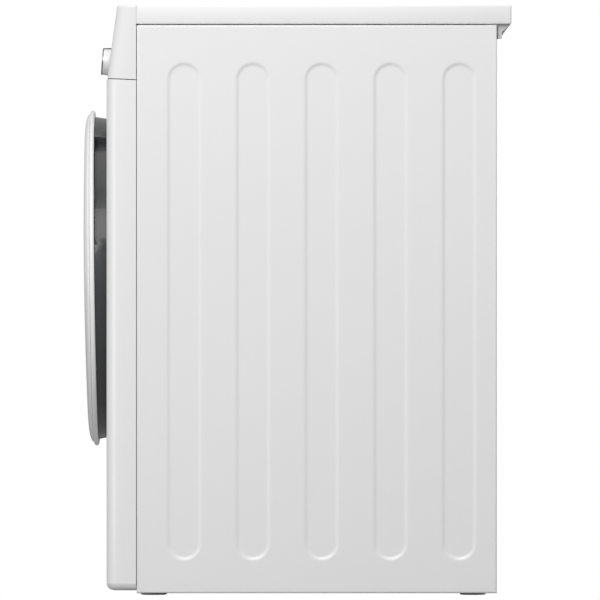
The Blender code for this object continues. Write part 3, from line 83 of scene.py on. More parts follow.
SKY_SEEN = 1.0  # how bright the backdrop is to the lens
SKY_LIGHT = 0.58  # and how much light it gives the machine
world = bpy.data.worlds.new("studio_world")
world.use_nodes = True
sky = world.node_tree
sky_path = sky.nodes.new("ShaderNodeLightPath")
sky_strength = sky.nodes.new("ShaderNodeMapRange")
sky_strength.inputs["To Min"].default_value = SKY_LIGHT
sky_strength.inputs["To Max"].default_value = SKY_SEEN
sky.links.new(sky_path.outputs["Is Camera Ray"], sky_strength.inputs["Value"])
sky.nodes["Background"].inputs["Color"].default_value = (1.0, 1.0, 1.0, 1.0)
sky.links.new(sky_strength.outputs["Result"], sky.nodes["Background"].inputs["Strength"])
scene.world = world


def soft_box(name, place, aim, size, power):
    """A square area light, in watts, turned to face a point."""
    light = bpy.data.lights.new(name, "AREA")
    light.energy = power
    light.size = size
    obj = bpy.data.objects.new(name, light)
    obj.location = place
    obj.rotation_euler = (Vector(aim) - Vector(place)).to_track_quat("-Z", "Y").to_euler()
    scene.collection.objects.link(obj)


soft_box("key_light", (2.4, -0.4, 2.2), (0.3, 0.0, 0.75), 1.8, 42.0)
soft_box("top_light", (0.0, -0.2, 3.2), (0.0, 0.0, 0.8), 2.0, 12.0)
soft_box("low_light", (1.5, -2.6, 0.25), (0.2, -0.3, 0.40), 1.2, 14.0)

FLOOR_GREY = (0.32, 0.32, 0.32, 1.0)
FLOOR_REACH = 30.0
floor_mesh = bmesh.new()
bmesh.ops.create_grid(floor_mesh, x_segments=1, y_segments=1, size=FLOOR_REACH)
floor_data = bpy.data.meshes.new("studio_floor")
floor_mesh.to_mesh(floor_data)
floor_mesh.free()
floor_finish = bpy.data.materials.new("studio_floor")
floor_finish.use_nodes = True
floor_tree = floor_finish.node_tree
floor_shader = floor_tree.nodes["Principled BSDF"]
floor_shader.inputs["Base Color"].default_value = FLOOR_GREY
floor_shader.inputs["Roughness"].default_value = 0.9
floor_path = floor_tree.nodes.new("ShaderNodeLightPath")
floor_white = floor_tree.nodes.new("ShaderNodeEmission")
floor_mix = floor_tree.nodes.new("ShaderNodeMixShader")
floor_tree.links.new(floor_path.outputs["Is Camera Ray"], floor_mix.inputs[0])
floor_tree.links.new(floor_shader.outputs[0], floor_mix.inputs[1])
floor_tree.links.new(floor_white.outputs[0], floor_mix.inputs[2])
floor_tree.links.new(floor_mix.outputs[0], floor_tree.nodes["Material Output"].inputs["Surface"])
floor_data.materials.append(floor_finish)
floor = bpy.data.objects.new("studio_floor", floor_data)
scene.collection.objects.link(floor)


# ------------------------------------------------------------------------------------------
# Side panels: one sheet of white enamelled steel each, with five pressed channels that
# stiffen it and folded edges all round. They are screwed to the base and the bulkheads.
class Wire:
    """The output of a node, so that a pattern over a surface is written as arithmetic."""

    def __init__(self, finish, socket):
        self.finish = finish
        self.socket = socket

    def maths(self, operation, other):
        return self.finish.node("ShaderNodeMath", {"operation": operation}, {0: self, 1: other})

    def __add__(self, other):
        return self.maths("ADD", other)

    __radd__ = __add__

    def __sub__(self, other):
        return self.maths("SUBTRACT", other)

    def __mul__(self, other):
        return self.maths("MULTIPLY", other)


class Finish:
    """A surface finish: a Principled shader and the nodes that vary it."""

    def __init__(self, name, colour, roughness, metallic=0.0, coat=0.0):
        self.material = bpy.data.materials.new(name)
        self.material.use_nodes = True
        self.tree = self.material.node_tree
        self.colour = (*colour, 1.0)
        self.shader = self.tree.nodes["Principled BSDF"].inputs
        self.shader["Base Color"].default_value = self.colour
        self.shader["Roughness"].default_value = roughness
        self.shader["Metallic"].default_value = metallic
        self.shader["Coat Weight"].default_value = coat

    def node(self, kind, settings, inputs, output=0):
        made = self.tree.nodes.new(kind)
        for key, value in settings.items():
            setattr(made, key, value)
        for key, value in inputs.items():
            self.feed(made.inputs[key], value)
        return Wire(self, made.outputs[output])

    def feed(self, socket, value):
        if isinstance(value, Wire):
            self.tree.links.new(value.socket, socket)
        else:
            socket.default_value = value

    def place(self, stretch=(1.0, 1.0, 1.0)):
        """Object coordinates, in metres, through a mapping."""
        where = self.node("ShaderNodeTexCoord", {}, {}, "Object")
        return self.node("ShaderNodeMapping", {}, {"Vector": where, "Scale": stretch})

    def noise(self, scale, detail=2.0, where=None):
        """Cloudy noise around 0.5; scale is in lumps per metre."""
        inputs = {"Vector": where or self.place(), "Scale": scale, "Detail": detail, "Roughness": 0.55}
        return self.node("ShaderNodeTexNoise", {}, inputs, "Fac")

    def blend(self, share, first, second):
        """first where share is 0, second where it is 1; both are colours."""
        inputs = {"Factor": share, 6: first, 7: second}
        return self.node("ShaderNodeMix", {"data_type": "RGBA"}, inputs, 2)

    def roughen(self, amount):
        self.feed(self.shader["Roughness"], amount)

    def tint(self, colour):
        self.feed(self.shader["Base Color"], colour)

    def bump(self, height, depth):
        """Relief from a height that runs from 0 to 1, depth metres deep."""
        inputs = {"Height": height, "Distance": depth, "Strength": 1.0}
        self.feed(self.shader["Normal"], self.node("ShaderNodeBump", {}, inputs, "Normal"))


def shade(colour, factor):
    return (*(min(1.0, part * factor) for part in colour[:3]), 1.0)


def enamel(name, colour, roughness=0.32):
    """Baked enamel: faint orange peel, with a slow drift in gloss and whiteness."""
    finish = Finish(name, colour, roughness, coat=0.15)
    drift = finish.noise(3.0)
    finish.tint(finish.blend(drift, shade(finish.colour, 0.985), shade(finish.colour, 1.010)))
    finish.roughen(roughness + (finish.noise(55.0, 3.0) - 0.5) * 0.08)
    finish.bump(finish.noise(620.0, 1.0), 0.000012)
    return finish.material


def moulding(name, colour, roughness=0.40, grain=0.000020, coat=0.0):
    """Injection-moulded plastic: fine spark-eroded grain and a little variation in gloss."""
    finish = Finish(name, colour, roughness, coat=coat)
    drift = finish.noise(6.0)
    finish.tint(finish.blend(drift, shade(finish.colour, 0.97), shade(finish.colour, 1.02)))
    finish.roughen(roughness + (finish.noise(90.0, 3.0) - 0.5) * 0.10)
    finish.bump(finish.noise(1900.0, 2.0), grain)
    return finish.material


def new_piece(name, bm, material, smooth=35.0):
    mesh = bpy.data.meshes.new(name)
    bm.to_mesh(mesh)
    bm.free()
    mesh.materials.append(material)
    mesh.shade_smooth()
    mesh.set_sharp_from_angle(angle=radians(smooth))
    piece = bpy.data.objects.new(name, mesh)
    scene.collection.objects.link(piece)
    return piece


def placed(piece, node, body="cabinet"):
    """Hangs a piece on its body, in the stead of a node when one is named."""
    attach(piece, body)
    if node:
        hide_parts(node)
    return piece


def ring_out(bm, edges, step):
    """Pulls one more ring of faces from edges; step moves each new vertex."""
    made = bmesh.ops.extrude_edge_only(bm, edges=edges)["geom"]
    for vert in made:
        if isinstance(vert, bmesh.types.BMVert):
            vert.co = step(vert.co)
    return [edge for edge in made if isinstance(edge, bmesh.types.BMEdge) and edge.is_boundary]


ENAMEL_WHITE = (0.85, 0.85, 0.85)
PANEL_SHEET = 0.0010
PANEL_FOLD = 0.0130
FOLD_RADIUS = 0.0024
FOLD_STEPS = 5
CHANNEL_WIDTH = 0.0554
CHANNEL_WALL = 0.0066
CHANNEL_DEPTH = 0.0019
CHANNEL_PITCH = 0.0990
CHANNEL_COUNT = 5
CHANNEL_FIRST = 0.0684
CHANNEL_BOTTOM_Z = 0.0476
CHANNEL_TOP_Z = 0.7698
WALL_STEPS = 8
ARC_STEPS = 20
FLAT_RING = 0.0020  # a flat border beside each bend, which keeps its shading clean


def pressed_panel(low, high, channels):
    """A sheet in the XY plane whose channels are pressed to +Z and whose edges fold to +Z.

    A channel is (x, low y, high y, radius); low and high y are the centres of its round ends.
    """
    bm = bmesh.new()
    inset = FOLD_RADIUS + FLAT_RING
    middle = Vector(((low[0] + high[0]) / 2, (low[1] + high[1]) / 2, 0.0))
    half = Vector((high[0] - low[0], high[1] - low[1], 0.0)) / 2 - Vector((inset, inset, 0.0))
    bmesh.ops.create_grid(bm, x_segments=1, y_segments=1, size=1.0)
    bmesh.ops.delete(bm, geom=bm.faces[:], context="FACES_ONLY")
    for vert in bm.verts:
        vert.co = middle + Vector((vert.co.x * half.x, vert.co.y * half.y, 0.0))
    outline = bm.edges[:]
    half_step = pi / (2 * ARC_STEPS)
    turn = Matrix.Rotation(half_step, 4, "Z")
    loops = []
    for x, low_y, high_y, radius in channels:
        reach = radius / cos(half_step)
        circle = bmesh.ops.create_circle(bm, segments=2 * ARC_STEPS, radius=reach, matrix=turn)
        for vert in circle["verts"]:
            vert.co += Vector((x, high_y if vert.co.y > 0.0 else low_y, 0.0))
        loops.append(list({edge for vert in circle["verts"] for edge in vert.link_edges}))
    bmesh.ops.triangle_fill(bm, use_beauty=True, edges=outline + [edge for loop in loops for edge in loop])

    rings = [(CHANNEL_WALL / WALL_STEPS, (i + 1) / WALL_STEPS) for i in range(WALL_STEPS)]
    for loop, (x, low_y, high_y, _) in zip(loops, channels):
        for width, share in ((FLAT_RING, 0.0), *rings, (FLAT_RING, 1.0)):
            depth = CHANNEL_DEPTH * (1 - cos(pi * share)) / 2

            def toward_spine(place):
                spine = Vector((x, min(max(place.y, low_y), high_y), place.z))
                moved = place + (spine - place).normalized() * width
                moved.z = depth
                return moved

            loop = ring_out(bm, loop, toward_spine)
        bmesh.ops.edgeloop_fill(bm, edges=loop)

    def away(place, out, drop):
        side = Vector((1 if place.x > middle.x else -1, 1 if place.y > middle.y else -1, 0.0))
        return place + side * out + Vector((0.0, 0.0, drop))

    edges = ring_out(bm, outline, lambda place: away(place, FLAT_RING, 0.0))
    for i in range(FOLD_STEPS):
        before, after = pi / 2 * i / FOLD_STEPS, pi / 2 * (i + 1) / FOLD_STEPS
        out = FOLD_RADIUS * (sin(after) - sin(before))
        drop = FOLD_RADIUS * (cos(before) - cos(after))
        edges = ring_out(bm, edges, lambda place: away(place, out, drop))
    ring_out(bm, edges, lambda place: away(place, 0.0, PANEL_FOLD - FOLD_RADIUS))
    return bm


def turn_out(bm, outward):
    """Turns a sheet's faces so that its broad side looks along outward."""
    bmesh.ops.recalc_face_normals(bm, faces=bm.faces)
    total = sum((face.normal * face.calc_area() for face in bm.faces), Vector())
    if total.dot(Vector(outward)) < 0:
        bmesh.ops.reverse_faces(bm, faces=bm.faces)


panel_enamel = enamel("panel_enamel", ENAMEL_WHITE)
for side, node in ((1, "side_panel_right"), (-1, "side_panel_left")):
    (_, panel_front, bottom_z), (_, panel_back, top_z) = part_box(node)
    radius = CHANNEL_WIDTH / 2
    channels = []
    for i in range(CHANNEL_COUNT):
        y = panel_front + CHANNEL_FIRST + i * CHANNEL_PITCH
        channels.append((y, CHANNEL_BOTTOM_Z + radius, CHANNEL_TOP_Z - radius, radius))
    panel_mesh = pressed_panel((panel_front, bottom_z), (panel_back, top_z), channels)
    for vert in panel_mesh.verts:
        y, z, inward = vert.co
        vert.co = (side * (side_x - inward), y, z)
    turn_out(panel_mesh, (side, 0.0, 0.0))
    panel = new_piece(f"{node}_skin", panel_mesh, panel_enamel)
    wall = panel.modifiers.new("wall", "SOLIDIFY")
    wall.thickness = PANEL_SHEET
    wall.offset = -1.0
    wall.use_even_offset = True
    placed(panel, node)


# ------------------------------------------------------------------------------------------
# Worktop: a thick slab of white moulded plastic over a wooden core, its edges softened, with
# two hooks of grey plastic at the back that keep the machine clear of the wall.
def add_block(bm, at, size):
    """Adds a block, centred on a frame and turned as the frame is."""
    bmesh.ops.create_cube(bm, size=1.0, matrix=at @ Matrix.Diagonal((*size, 1.0)))


def slab(low, high, edge=0.0, segments=3):
    """A block between two corners, with rounded edges."""
    bm = bmesh.new()
    low, high = Vector(low), Vector(high)
    add_block(bm, Matrix.Translation((high + low) / 2), high - low)
    if edge:
        bmesh.ops.bevel(
            bm, geom=bm.edges[:], offset=edge, segments=segments, profile=0.5, affect="EDGES", material=-1
        )
    return bm


MERGE_GAP = 0.000002
FLAT_ANGLE = radians(0.4)
EDGE_ANGLE = radians(38.0)


def dressed(node, material, body="cabinet", edge=0.0):
    """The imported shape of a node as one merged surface, with its hard edges rounded."""
    bm = bmesh.new()
    bm.from_mesh(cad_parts[node].data)
    bmesh.ops.remove_doubles(bm, verts=bm.verts, dist=MERGE_GAP)
    bmesh.ops.dissolve_limit(bm, angle_limit=FLAT_ANGLE, verts=bm.verts, edges=bm.edges)
    bmesh.ops.recalc_face_normals(bm, faces=bm.faces)
    piece = new_piece(f"{node}_shell", bm, material)
    if edge:
        bevel = piece.modifiers.new("edges", "BEVEL")
        bevel.width = edge
        bevel.segments = 2
        bevel.limit_method = "ANGLE"
        bevel.angle_limit = EDGE_ANGLE
        bevel.profile = 0.5
    return placed(piece, node, body)


WORKTOP_WHITE = (0.87, 0.87, 0.87)
WORKTOP_EDGE = 0.0026
BRACKET_GREY = (0.62, 0.62, 0.62)
TONGUE_GAP = 0.0002
TONGUE_INSET = 0.0009
worktop_plastic = moulding("worktop_plastic", WORKTOP_WHITE, roughness=0.36, grain=0.000012)
bracket_plastic = moulding("bracket_plastic", BRACKET_GREY, roughness=0.5)
worktop_low, worktop_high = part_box("worktop")
worktop = new_piece("worktop_slab", slab(worktop_low, worktop_high, WORKTOP_EDGE, 4), worktop_plastic)
placed(worktop, "worktop")
# A tongue along the front of the slab closes the gap behind the console.
console_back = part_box("console_fascia")[1].y
tongue_low = (TONGUE_INSET - side_x, console_back + TONGUE_GAP, worktop_low.z + TONGUE_INSET)
tongue_high = (side_x - TONGUE_INSET, worktop_low.y + WORKTOP_EDGE, worktop_high.z - TONGUE_INSET)
placed(new_piece("worktop_tongue", slab(tongue_low, tongue_high), worktop_plastic), None)
for side in ("right", "left"):
    dressed(f"worktop_bracket_{side}", bracket_plastic, edge=0.0006)

# ------------------------------------------------------------------------------------------
# Front panel: white enamelled steel, rounded at its upright corners and at its toe, with the
# round mouth, the latch's slot and the service flap's opening cut out of it.
FRONT_EDGE = 0.0004
SEAM_SHADE_SIZE = (0.0100, 0.0006, 0.8000)
SEAM_SHADE_SETBACK = 0.0012
SEAM_SHADE_Z = 0.4150
dressed("front_panel", panel_enamel, edge=FRONT_EDGE)
seam_shade_black = moulding("seam_shade_black", (0.02, 0.02, 0.02), roughness=0.9, grain=0.000060)
# Near-black strips set just behind the seams between the front panel and the side panels paint shade into the
# seams.
front_face, seam_front = (corner.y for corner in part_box("front_panel"))
seam_y = (seam_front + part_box("side_panel_right")[0].y) / 2
shade_strips = bmesh.new()
for side in (1, -1):
    seam_shade_x = side * (side_x - SEAM_SHADE_SETBACK - SEAM_SHADE_SIZE[0] / 2)
    add_block(shade_strips, Matrix.Translation((seam_shade_x, seam_y, SEAM_SHADE_Z)), SEAM_SHADE_SIZE)
placed(new_piece("seam_shade_strips", shade_strips, seam_shade_black), None)

# ------------------------------------------------------------------------------------------
# Console: a moulded fascia that leans back, with openings for the drawer, knob, buttons and
# display. Fine printed marks ring the knob, one for each programme.
MARK_GREY = (0.20, 0.21, 0.22)
MARK_COUNT = 16
MARK_RING = 0.0262
MARK_SIZE = (0.0034, 0.0002, 0.0008)
KNOB_Z = 0.7730
CONSOLE_LEAN = radians(7.6)
console_plastic = moulding("console_plastic", (0.82, 0.82, 0.82), roughness=0.34, grain=0.000012, coat=0.1)
mark_print = moulding("mark_print", MARK_GREY, roughness=0.5, grain=0.000004)
dressed("console_fascia", console_plastic, edge=0.0005)
_, console_front, console_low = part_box("console_fascia")[0]


def on_console(x, z, lean=CONSOLE_LEAN):
    """Frame of a place on the leaning face: X across, Y into the machine, Z up the face."""
    face = Vector((x, console_front + (z - console_low) * tan(CONSOLE_LEAN), z))
    return Matrix.Translation(face) @ Matrix.Rotation(-lean, 4, "X")


marks = bmesh.new()
for i in range(MARK_COUNT):
    turn = Matrix.Rotation(2 * pi * (i + 0.5) / MARK_COUNT, 4, "Y")
    add_block(marks, on_console(0.0, KNOB_Z) @ turn @ Matrix.Translation((MARK_RING, 0.0, 0.0)), MARK_SIZE)
placed(new_piece("programme_marks", marks, mark_print), None)

# ------------------------------------------------------------------------------------------
# Door: a white domed cover in a white rim, carried by a glossy dark housing with a grip let
# into its edge. A dark smoked bowl and a rubber seal close the mouth behind it.
DOOR_Z = 0.4574
DOOR_LEAN = radians(0.7)
LATHE_STEPS = 128


def lathe(profile, steps=LATHE_STEPS):
    """Turns (radius, depth) points about the Y axis into a closed or open skin."""
    bm = bmesh.new()
    verts = [bm.verts.new((radius, depth, 0.0)) for radius, depth in profile]
    for first, second in zip(verts, verts[1:]):
        bm.edges.new((first, second))
    line = bm.verts[:] + bm.edges[:]
    bmesh.ops.spin(bm, geom=line, cent=(0, 0, 0), axis=(0, 1, 0), angle=2 * pi, steps=steps, use_merge=True)
    bmesh.ops.remove_doubles(bm, verts=bm.verts, dist=0.000001)
    bmesh.ops.recalc_face_normals(bm, faces=bm.faces)
    return bm


def ring(profile, steps=LATHE_STEPS):
    """Turns a closed section about the Y axis."""
    return lathe([*profile, profile[0]], steps)


def round_corner(centre, radius, start, end, steps=6):
    """Points of an arc in the (radius, depth) plane."""
    angles = [start + (end - start) * i / steps for i in range(steps + 1)]
    return [(centre[0] + radius * cos(a), centre[1] + radius * sin(a)) for a in angles]


def on_door(bm, lean=DOOR_LEAN):
    """Moves a turned piece to the door's centre and leans it as the door's face leans."""
    for vert in bm.verts:
        vert.co.y -= vert.co.z * tan(lean)
        vert.co.z += DOOR_Z
    return bm


RIM_GAP = 0.0184  # from the front panel to the back of the rim
RIM_DEPTH = 0.0068
RIM_WIDTH = 0.0150
RIM_ROUND = 0.0030
door_white = moulding("door_white", (0.86, 0.86, 0.86), roughness=0.22, grain=0.000004, coat=0.35)
rim_white = moulding("rim_white", (0.88, 0.88, 0.88), roughness=0.30, grain=0.000006, coat=0.2)
rim_low, rim_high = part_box("door_rim")
rim_radius = (rim_high.x - rim_low.x) / 2
rim_back = front_face - RIM_GAP
rim_front = rim_back - RIM_DEPTH

COVER_SHOULDER = 0.0260
COVER_WALL = 0.0025
COVER_GAP = 0.0003
COVER_LIP = 0.0030
COVER_REACH = 0.0375
DOME_RADIUS = 5.7
DOME_STEPS = 16
SHOULDER_STEPS = 12
cover_low, cover_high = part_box("door_cover")
cover_radius = (cover_high.x - cover_low.x) / 2
cover_back = rim_front - COVER_GAP
apex = front_face - COVER_REACH + DOME_RADIUS * tan(DOOR_LEAN) ** 2 / 2
shoulder = cover_radius - COVER_SHOULDER
radii = [shoulder * i / DOME_STEPS for i in range(DOME_STEPS + 1)]
dome = [(radius, apex + radius**2 / (2 * DOME_RADIUS)) for radius in radii]
dome_edge = dome[-1][1]
angles = [pi / 2 * i / SHOULDER_STEPS for i in range(1, SHOULDER_STEPS + 1)]
brow = [
    (shoulder + COVER_SHOULDER * sin(a), dome_edge + (cover_back - dome_edge) * (1 - cos(a))) for a in angles
]
inside = [(radius, depth + COVER_WALL) for radius, depth in reversed(dome)]
cover_profile = [*dome, *brow, (cover_radius - COVER_LIP, cover_back), *inside]
cover = new_piece("door_cover_dome", on_door(lathe(cover_profile)), door_white, 40.0)
placed(cover, "door_cover", "door")

rim_profile = [(rim_radius - RIM_WIDTH, rim_back)]
rim_profile += round_corner((rim_radius - RIM_ROUND, rim_back - RIM_ROUND), RIM_ROUND, pi / 2, 0.0)
rim_profile += round_corner((rim_radius - RIM_ROUND, rim_front + RIM_ROUND), RIM_ROUND, 0.0, -pi / 2)
rim_profile += [(rim_radius - RIM_WIDTH, rim_front)]
rim = new_piece("door_rim_ring", on_door(ring(rim_profile)), rim_white, 40.0)
placed(rim, "door_rim", "door")

DARK_GLOSS = (0.045, 0.047, 0.050)
housing_gloss = moulding("housing_gloss", DARK_GLOSS, roughness=0.40, grain=0.000002, coat=0.25)
dressed("door_housing", housing_gloss, "door", edge=0.0005)

BOWL_SMOKE = (0.05, 0.055, 0.06)
bowl_gloss = moulding("bowl_smoke", BOWL_SMOKE, roughness=0.08, grain=0.000001, coat=0.8)
dressed("door_bowl", bowl_gloss, "door", edge=0.0008)

SEAL_GREY = (0.09, 0.09, 0.095)
SEAL_INNER_RADIUS = 0.1695
seal_rubber = moulding("seal_rubber", SEAL_GREY, roughness=0.72, grain=0.000030)
seal_low, seal_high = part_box("door_seal")
seal_radius = (seal_high.x - seal_low.x) / 2
lip_y = seal_low.y
seal_profile = [(SEAL_INNER_RADIUS, lip_y), (seal_radius - 0.001, lip_y), (seal_radius, lip_y + 0.0012)]
seal_profile += [(seal_radius - 0.0022, lip_y + 0.0030), (seal_radius - 0.0022, lip_y + 0.0042)]
seal_profile += [(seal_radius, lip_y + 0.0056), (seal_radius - 0.0008, seal_high.y)]
seal_profile += [(SEAL_INNER_RADIUS, seal_high.y)]
seal = new_piece("door_seal_lip", on_door(ring(seal_profile), 0.0), seal_rubber)
placed(seal, "door_seal", "door")


def brushed(name, colour, roughness=0.32, along=(1.0, 1.0, 60.0), metallic=1.0):
    """Bare metal with a fine brushed grain; along stretches the grain's pattern."""
    finish = Finish(name, colour, roughness, metallic)
    grain = finish.noise(160.0, 3.0, finish.place(along))
    finish.tint(finish.blend(grain, shade(finish.colour, 0.90), shade(finish.colour, 1.06)))
    finish.roughen(roughness + (grain - 0.5) * 0.16)
    finish.bump(grain, 0.000008)
    return finish.material


hinge_steel = brushed("hinge_steel", (0.62, 0.62, 0.61), 0.30)
latch_zinc = brushed("latch_zinc", (0.66, 0.67, 0.68), 0.38)
catch_black = moulding("catch_black", (0.03, 0.03, 0.032), roughness=0.55)
dressed("hinge_leaf", hinge_steel, "door", edge=0.0003)
dressed("hinge_plate", hinge_steel, edge=0.0003)
dressed("latch_hook", latch_zinc, "door", edge=0.0004)
dressed("door_catch", catch_black, edge=0.0008)


# ------------------------------------------------------------------------------------------
# Programme knob: a satin silver cone with a polished edge and a dished face. A dark mark on
# the face points at the programme, and a dark rib carries it on down the knob's side.
def moved(bm, matrix):
    """Moves a whole mesh from its own frame to its place."""
    bmesh.ops.transform(bm, matrix=matrix, verts=bm.verts)
    return bm


KNOB_LEAN = radians(4.0)
KNOB_LENGTH = 0.0172
KNOB_RADIUS = 0.0203
KNOB_TIP = 0.0188
KNOB_STEPS = 96
SHAFT_RADIUS = 0.0040
SHAFT_END = 0.0180
satin = brushed("knob_satin", (0.84, 0.84, 0.84), 0.46, (1.0, 1.0, 1.0), 0.25)
chrome_dark = Finish("knob_chrome", (0.18, 0.18, 0.19), 0.12, 1.0)
chrome_dark.roughen(0.12 + (chrome_dark.noise(300.0) - 0.5) * 0.05)
knob_at = on_console(0.0, KNOB_Z, KNOB_LEAN)
knob_profile = [(0.0, 0.0016 - KNOB_LENGTH), (0.0130, 0.0010 - KNOB_LENGTH), (0.0164, 0.0004 - KNOB_LENGTH)]
knob_profile += round_corner((KNOB_TIP - 0.0010, 0.0010 - KNOB_LENGTH), 0.0010, -pi / 2, 0.0, 4)
knob_profile += [(KNOB_RADIUS - 0.0006, -0.0016), (KNOB_RADIUS, -0.0008), (KNOB_RADIUS, 0.0030)]
knob_profile += [(SHAFT_RADIUS, 0.0030), (SHAFT_RADIUS, SHAFT_END), (0.0, SHAFT_END)]
knob = new_piece("knob_grip", moved(lathe(knob_profile, KNOB_STEPS), knob_at), satin, 40.0)
placed(knob, "program_knob", "knob")
edge_profile = [(KNOB_TIP - 0.0012, 0.0022 - KNOB_LENGTH), (KNOB_TIP - 0.0002, 0.0006 - KNOB_LENGTH)]
edge_profile += [(KNOB_TIP + 0.0002, 0.0010 - KNOB_LENGTH), (KNOB_TIP + 0.0003, 0.0022 - KNOB_LENGTH)]
knob_edge = moved(ring(edge_profile, KNOB_STEPS), knob_at)
placed(new_piece("knob_edge", knob_edge, chrome_dark.material, 40.0), None, "knob")
knob_mark = slab((-0.0006, 0.0002 - KNOB_LENGTH, 0.0090), (0.0006, 0.0012 - KNOB_LENGTH, 0.0160), 0.0002, 2)
placed(new_piece("knob_mark", moved(knob_mark, knob_at), mark_print), None, "knob")

RIB_WIDTH = 0.0024
RIB_HEIGHT = 0.0013
RIB_ROOT = 0.0008
RIB_START = 0.0006 - KNOB_LENGTH
RIB_END = -0.0030
rib_black = moulding("rib_black", (0.03, 0.03, 0.03), roughness=0.5)
rib_low = (-RIB_WIDTH / 2, RIB_START, KNOB_TIP - RIB_ROOT)
rib_high = (RIB_WIDTH / 2, RIB_END, KNOB_TIP + RIB_HEIGHT)
rib = slab(rib_low, rib_high, 0.0003, 2)
for vert in rib.verts:
    vert.co.z += (vert.co.y + KNOB_LENGTH) * (KNOB_RADIUS - KNOB_TIP) / KNOB_LENGTH
placed(new_piece("knob_rib", moved(rib, knob_at), rib_black), None, "knob")

# ------------------------------------------------------------------------------------------
# Buttons and display: silver power and start buttons with a plain bar each, two white option
# keys, and a smoked window over four lit digits and a row of small lit bars.
BUTTON_X = {"power": -0.0560, "start": 0.2350}
BUTTON_RADIUS = 0.0105
BUTTON_PROUD = 0.0014
BUTTON_DEPTH = 0.0060
BUTTON_STEM = 0.0030
STEM_END = 0.0120
button_profile = [(0.0, 0.0004 - BUTTON_PROUD), (0.0060, 0.0001 - BUTTON_PROUD), (0.0088, -BUTTON_PROUD)]
button_profile += round_corner((BUTTON_RADIUS - 0.0008, 0.0008 - BUTTON_PROUD), 0.0008, -pi / 2, 0.0, 4)
button_profile += [(BUTTON_RADIUS, BUTTON_DEPTH), (BUTTON_STEM, BUTTON_DEPTH)]
button_profile += [(BUTTON_STEM, STEM_END), (0.0, STEM_END)]
for label, x in BUTTON_X.items():
    at = on_console(x, KNOB_Z)
    cap = new_piece(f"{label}_cap", moved(lathe(button_profile, 64), at), satin, 40.0)
    placed(cap, f"{label}_button", f"{label}_key")
    bar = slab((-0.0005, -0.0003, -0.0030), (0.0005, 0.0004, 0.0030), 0.0002, 2)
    moved(bar, at @ Matrix.Translation((0.0, -BUTTON_PROUD, 0.0)))
    placed(new_piece(f"{label}_bar", bar, mark_print), None, f"{label}_key")
key_white = moulding("key_white", (0.80, 0.80, 0.80), roughness=0.38)
for i in (1, 2):
    dressed(f"option_button_{i}", key_white, f"option_key_{i}", edge=0.0003)

DISPLAY_X = 0.1230
DISPLAY_Z = 0.7905
LIT = (0.55, 0.85, 1.0)
LIT_DEPTH = 0.0003
SEGMENT = 0.0009
DIGIT_X = (0.0120, 0.0225, 0.0360, 0.0465)
DIGIT_BARS = [(0.0, z, 0.0050, SEGMENT) for z in (0.0, 0.0060, -0.0060)]
DIGIT_BARS += [(x, z, SEGMENT, 0.0048) for z in (0.0030, -0.0030) for x in (-0.0030, 0.0030)]
LEVEL_BARS = [(0.0100 * i - 0.0540, -0.0055, 0.0060, 0.0010) for i in range(6)]
lens_finish = Finish("display_lens_glass", (0.02, 0.022, 0.025), 0.07, coat=1.0)
lens_finish.roughen(0.07 + lens_finish.noise(40.0) * 0.05)
dressed("display_lens", lens_finish.material, edge=0.0004)
lit_finish = Finish("display_light", LIT, 0.4)
lit_finish.shader["Emission Color"].default_value = (*LIT, 1.0)
lit_finish.shader["Emission Strength"].default_value = 0.7
lit_finish.roughen(0.4 + (lit_finish.noise(200.0) - 0.5) * 0.1)
lit_bars = [(left + x, z, wide, tall) for left in DIGIT_X for x, z, wide, tall in DIGIT_BARS]
lit = bmesh.new()
for x, z, wide, tall in lit_bars + LEVEL_BARS:
    at = on_console(DISPLAY_X, DISPLAY_Z) @ Matrix.Translation((x, 0.0, z))
    add_block(lit, at, (wide, LIT_DEPTH, tall))
placed(new_piece("display_segments", lit, lit_finish.material), None)

# ------------------------------------------------------------------------------------------
# Water tank: a drawer at the upper left with a finger hold below its front, which carries a
# long white tank. It slides in a grey tray.
tank_white = moulding("tank_white", (0.80, 0.80, 0.80), roughness=0.36, grain=0.000012)
tray_grey = moulding("tray_grey", (0.33, 0.34, 0.35), roughness=0.5)
dressed("water_tank", tank_white, "tank", edge=0.0006)
dressed("tank_tray", tray_grey, edge=0.0005)

# ------------------------------------------------------------------------------------------
# Service flap: a white door at the lower left, hinged along its bottom, over the heat
# exchangers. A shallow pull is let into its top edge.
flap_white = moulding("flap_white", (0.83, 0.83, 0.83), roughness=0.36, grain=0.000012)
dressed("service_flap", flap_white, "flap", edge=0.0006)

# ------------------------------------------------------------------------------------------
# Rear panel: zinc-coated sheet set in between the side panels' folds, with a round boss over
# the drum, a louvred vent below it, and screws up both sides and along the top.
SCREW_RADIUS = 0.0042
SCREW_HEIGHT = 0.0016
SCREW_INSET = 0.0160
SIDE_SCREWS = 7
TOP_SCREWS_X = (-0.14, 0.0, 0.14)
BOSS_REACH = 0.0090
rear_zinc = brushed("rear_zinc", (0.70, 0.71, 0.72), 0.42, (1.0, 1.0, 12.0), 0.85)
screw_zinc = brushed("screw_zinc", (0.60, 0.60, 0.60), 0.34)
dressed("rear_panel", rear_zinc, edge=0.0003)
rear_low, rear_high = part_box("rear_panel")
screw_y = rear_high.y - BOSS_REACH + SCREW_HEIGHT / 2
top_screw_z = rear_high.z - SCREW_INSET
screw_rise = (top_screw_z - rear_low.z - SCREW_INSET) / (SIDE_SCREWS - 1)
places = []
for i in range(SIDE_SCREWS):
    for x in (rear_low.x + SCREW_INSET, rear_high.x - SCREW_INSET):
        places.append((x, rear_low.z + SCREW_INSET + i * screw_rise))
places += [(x, top_screw_z) for x in TOP_SCREWS_X]
screws = bmesh.new()
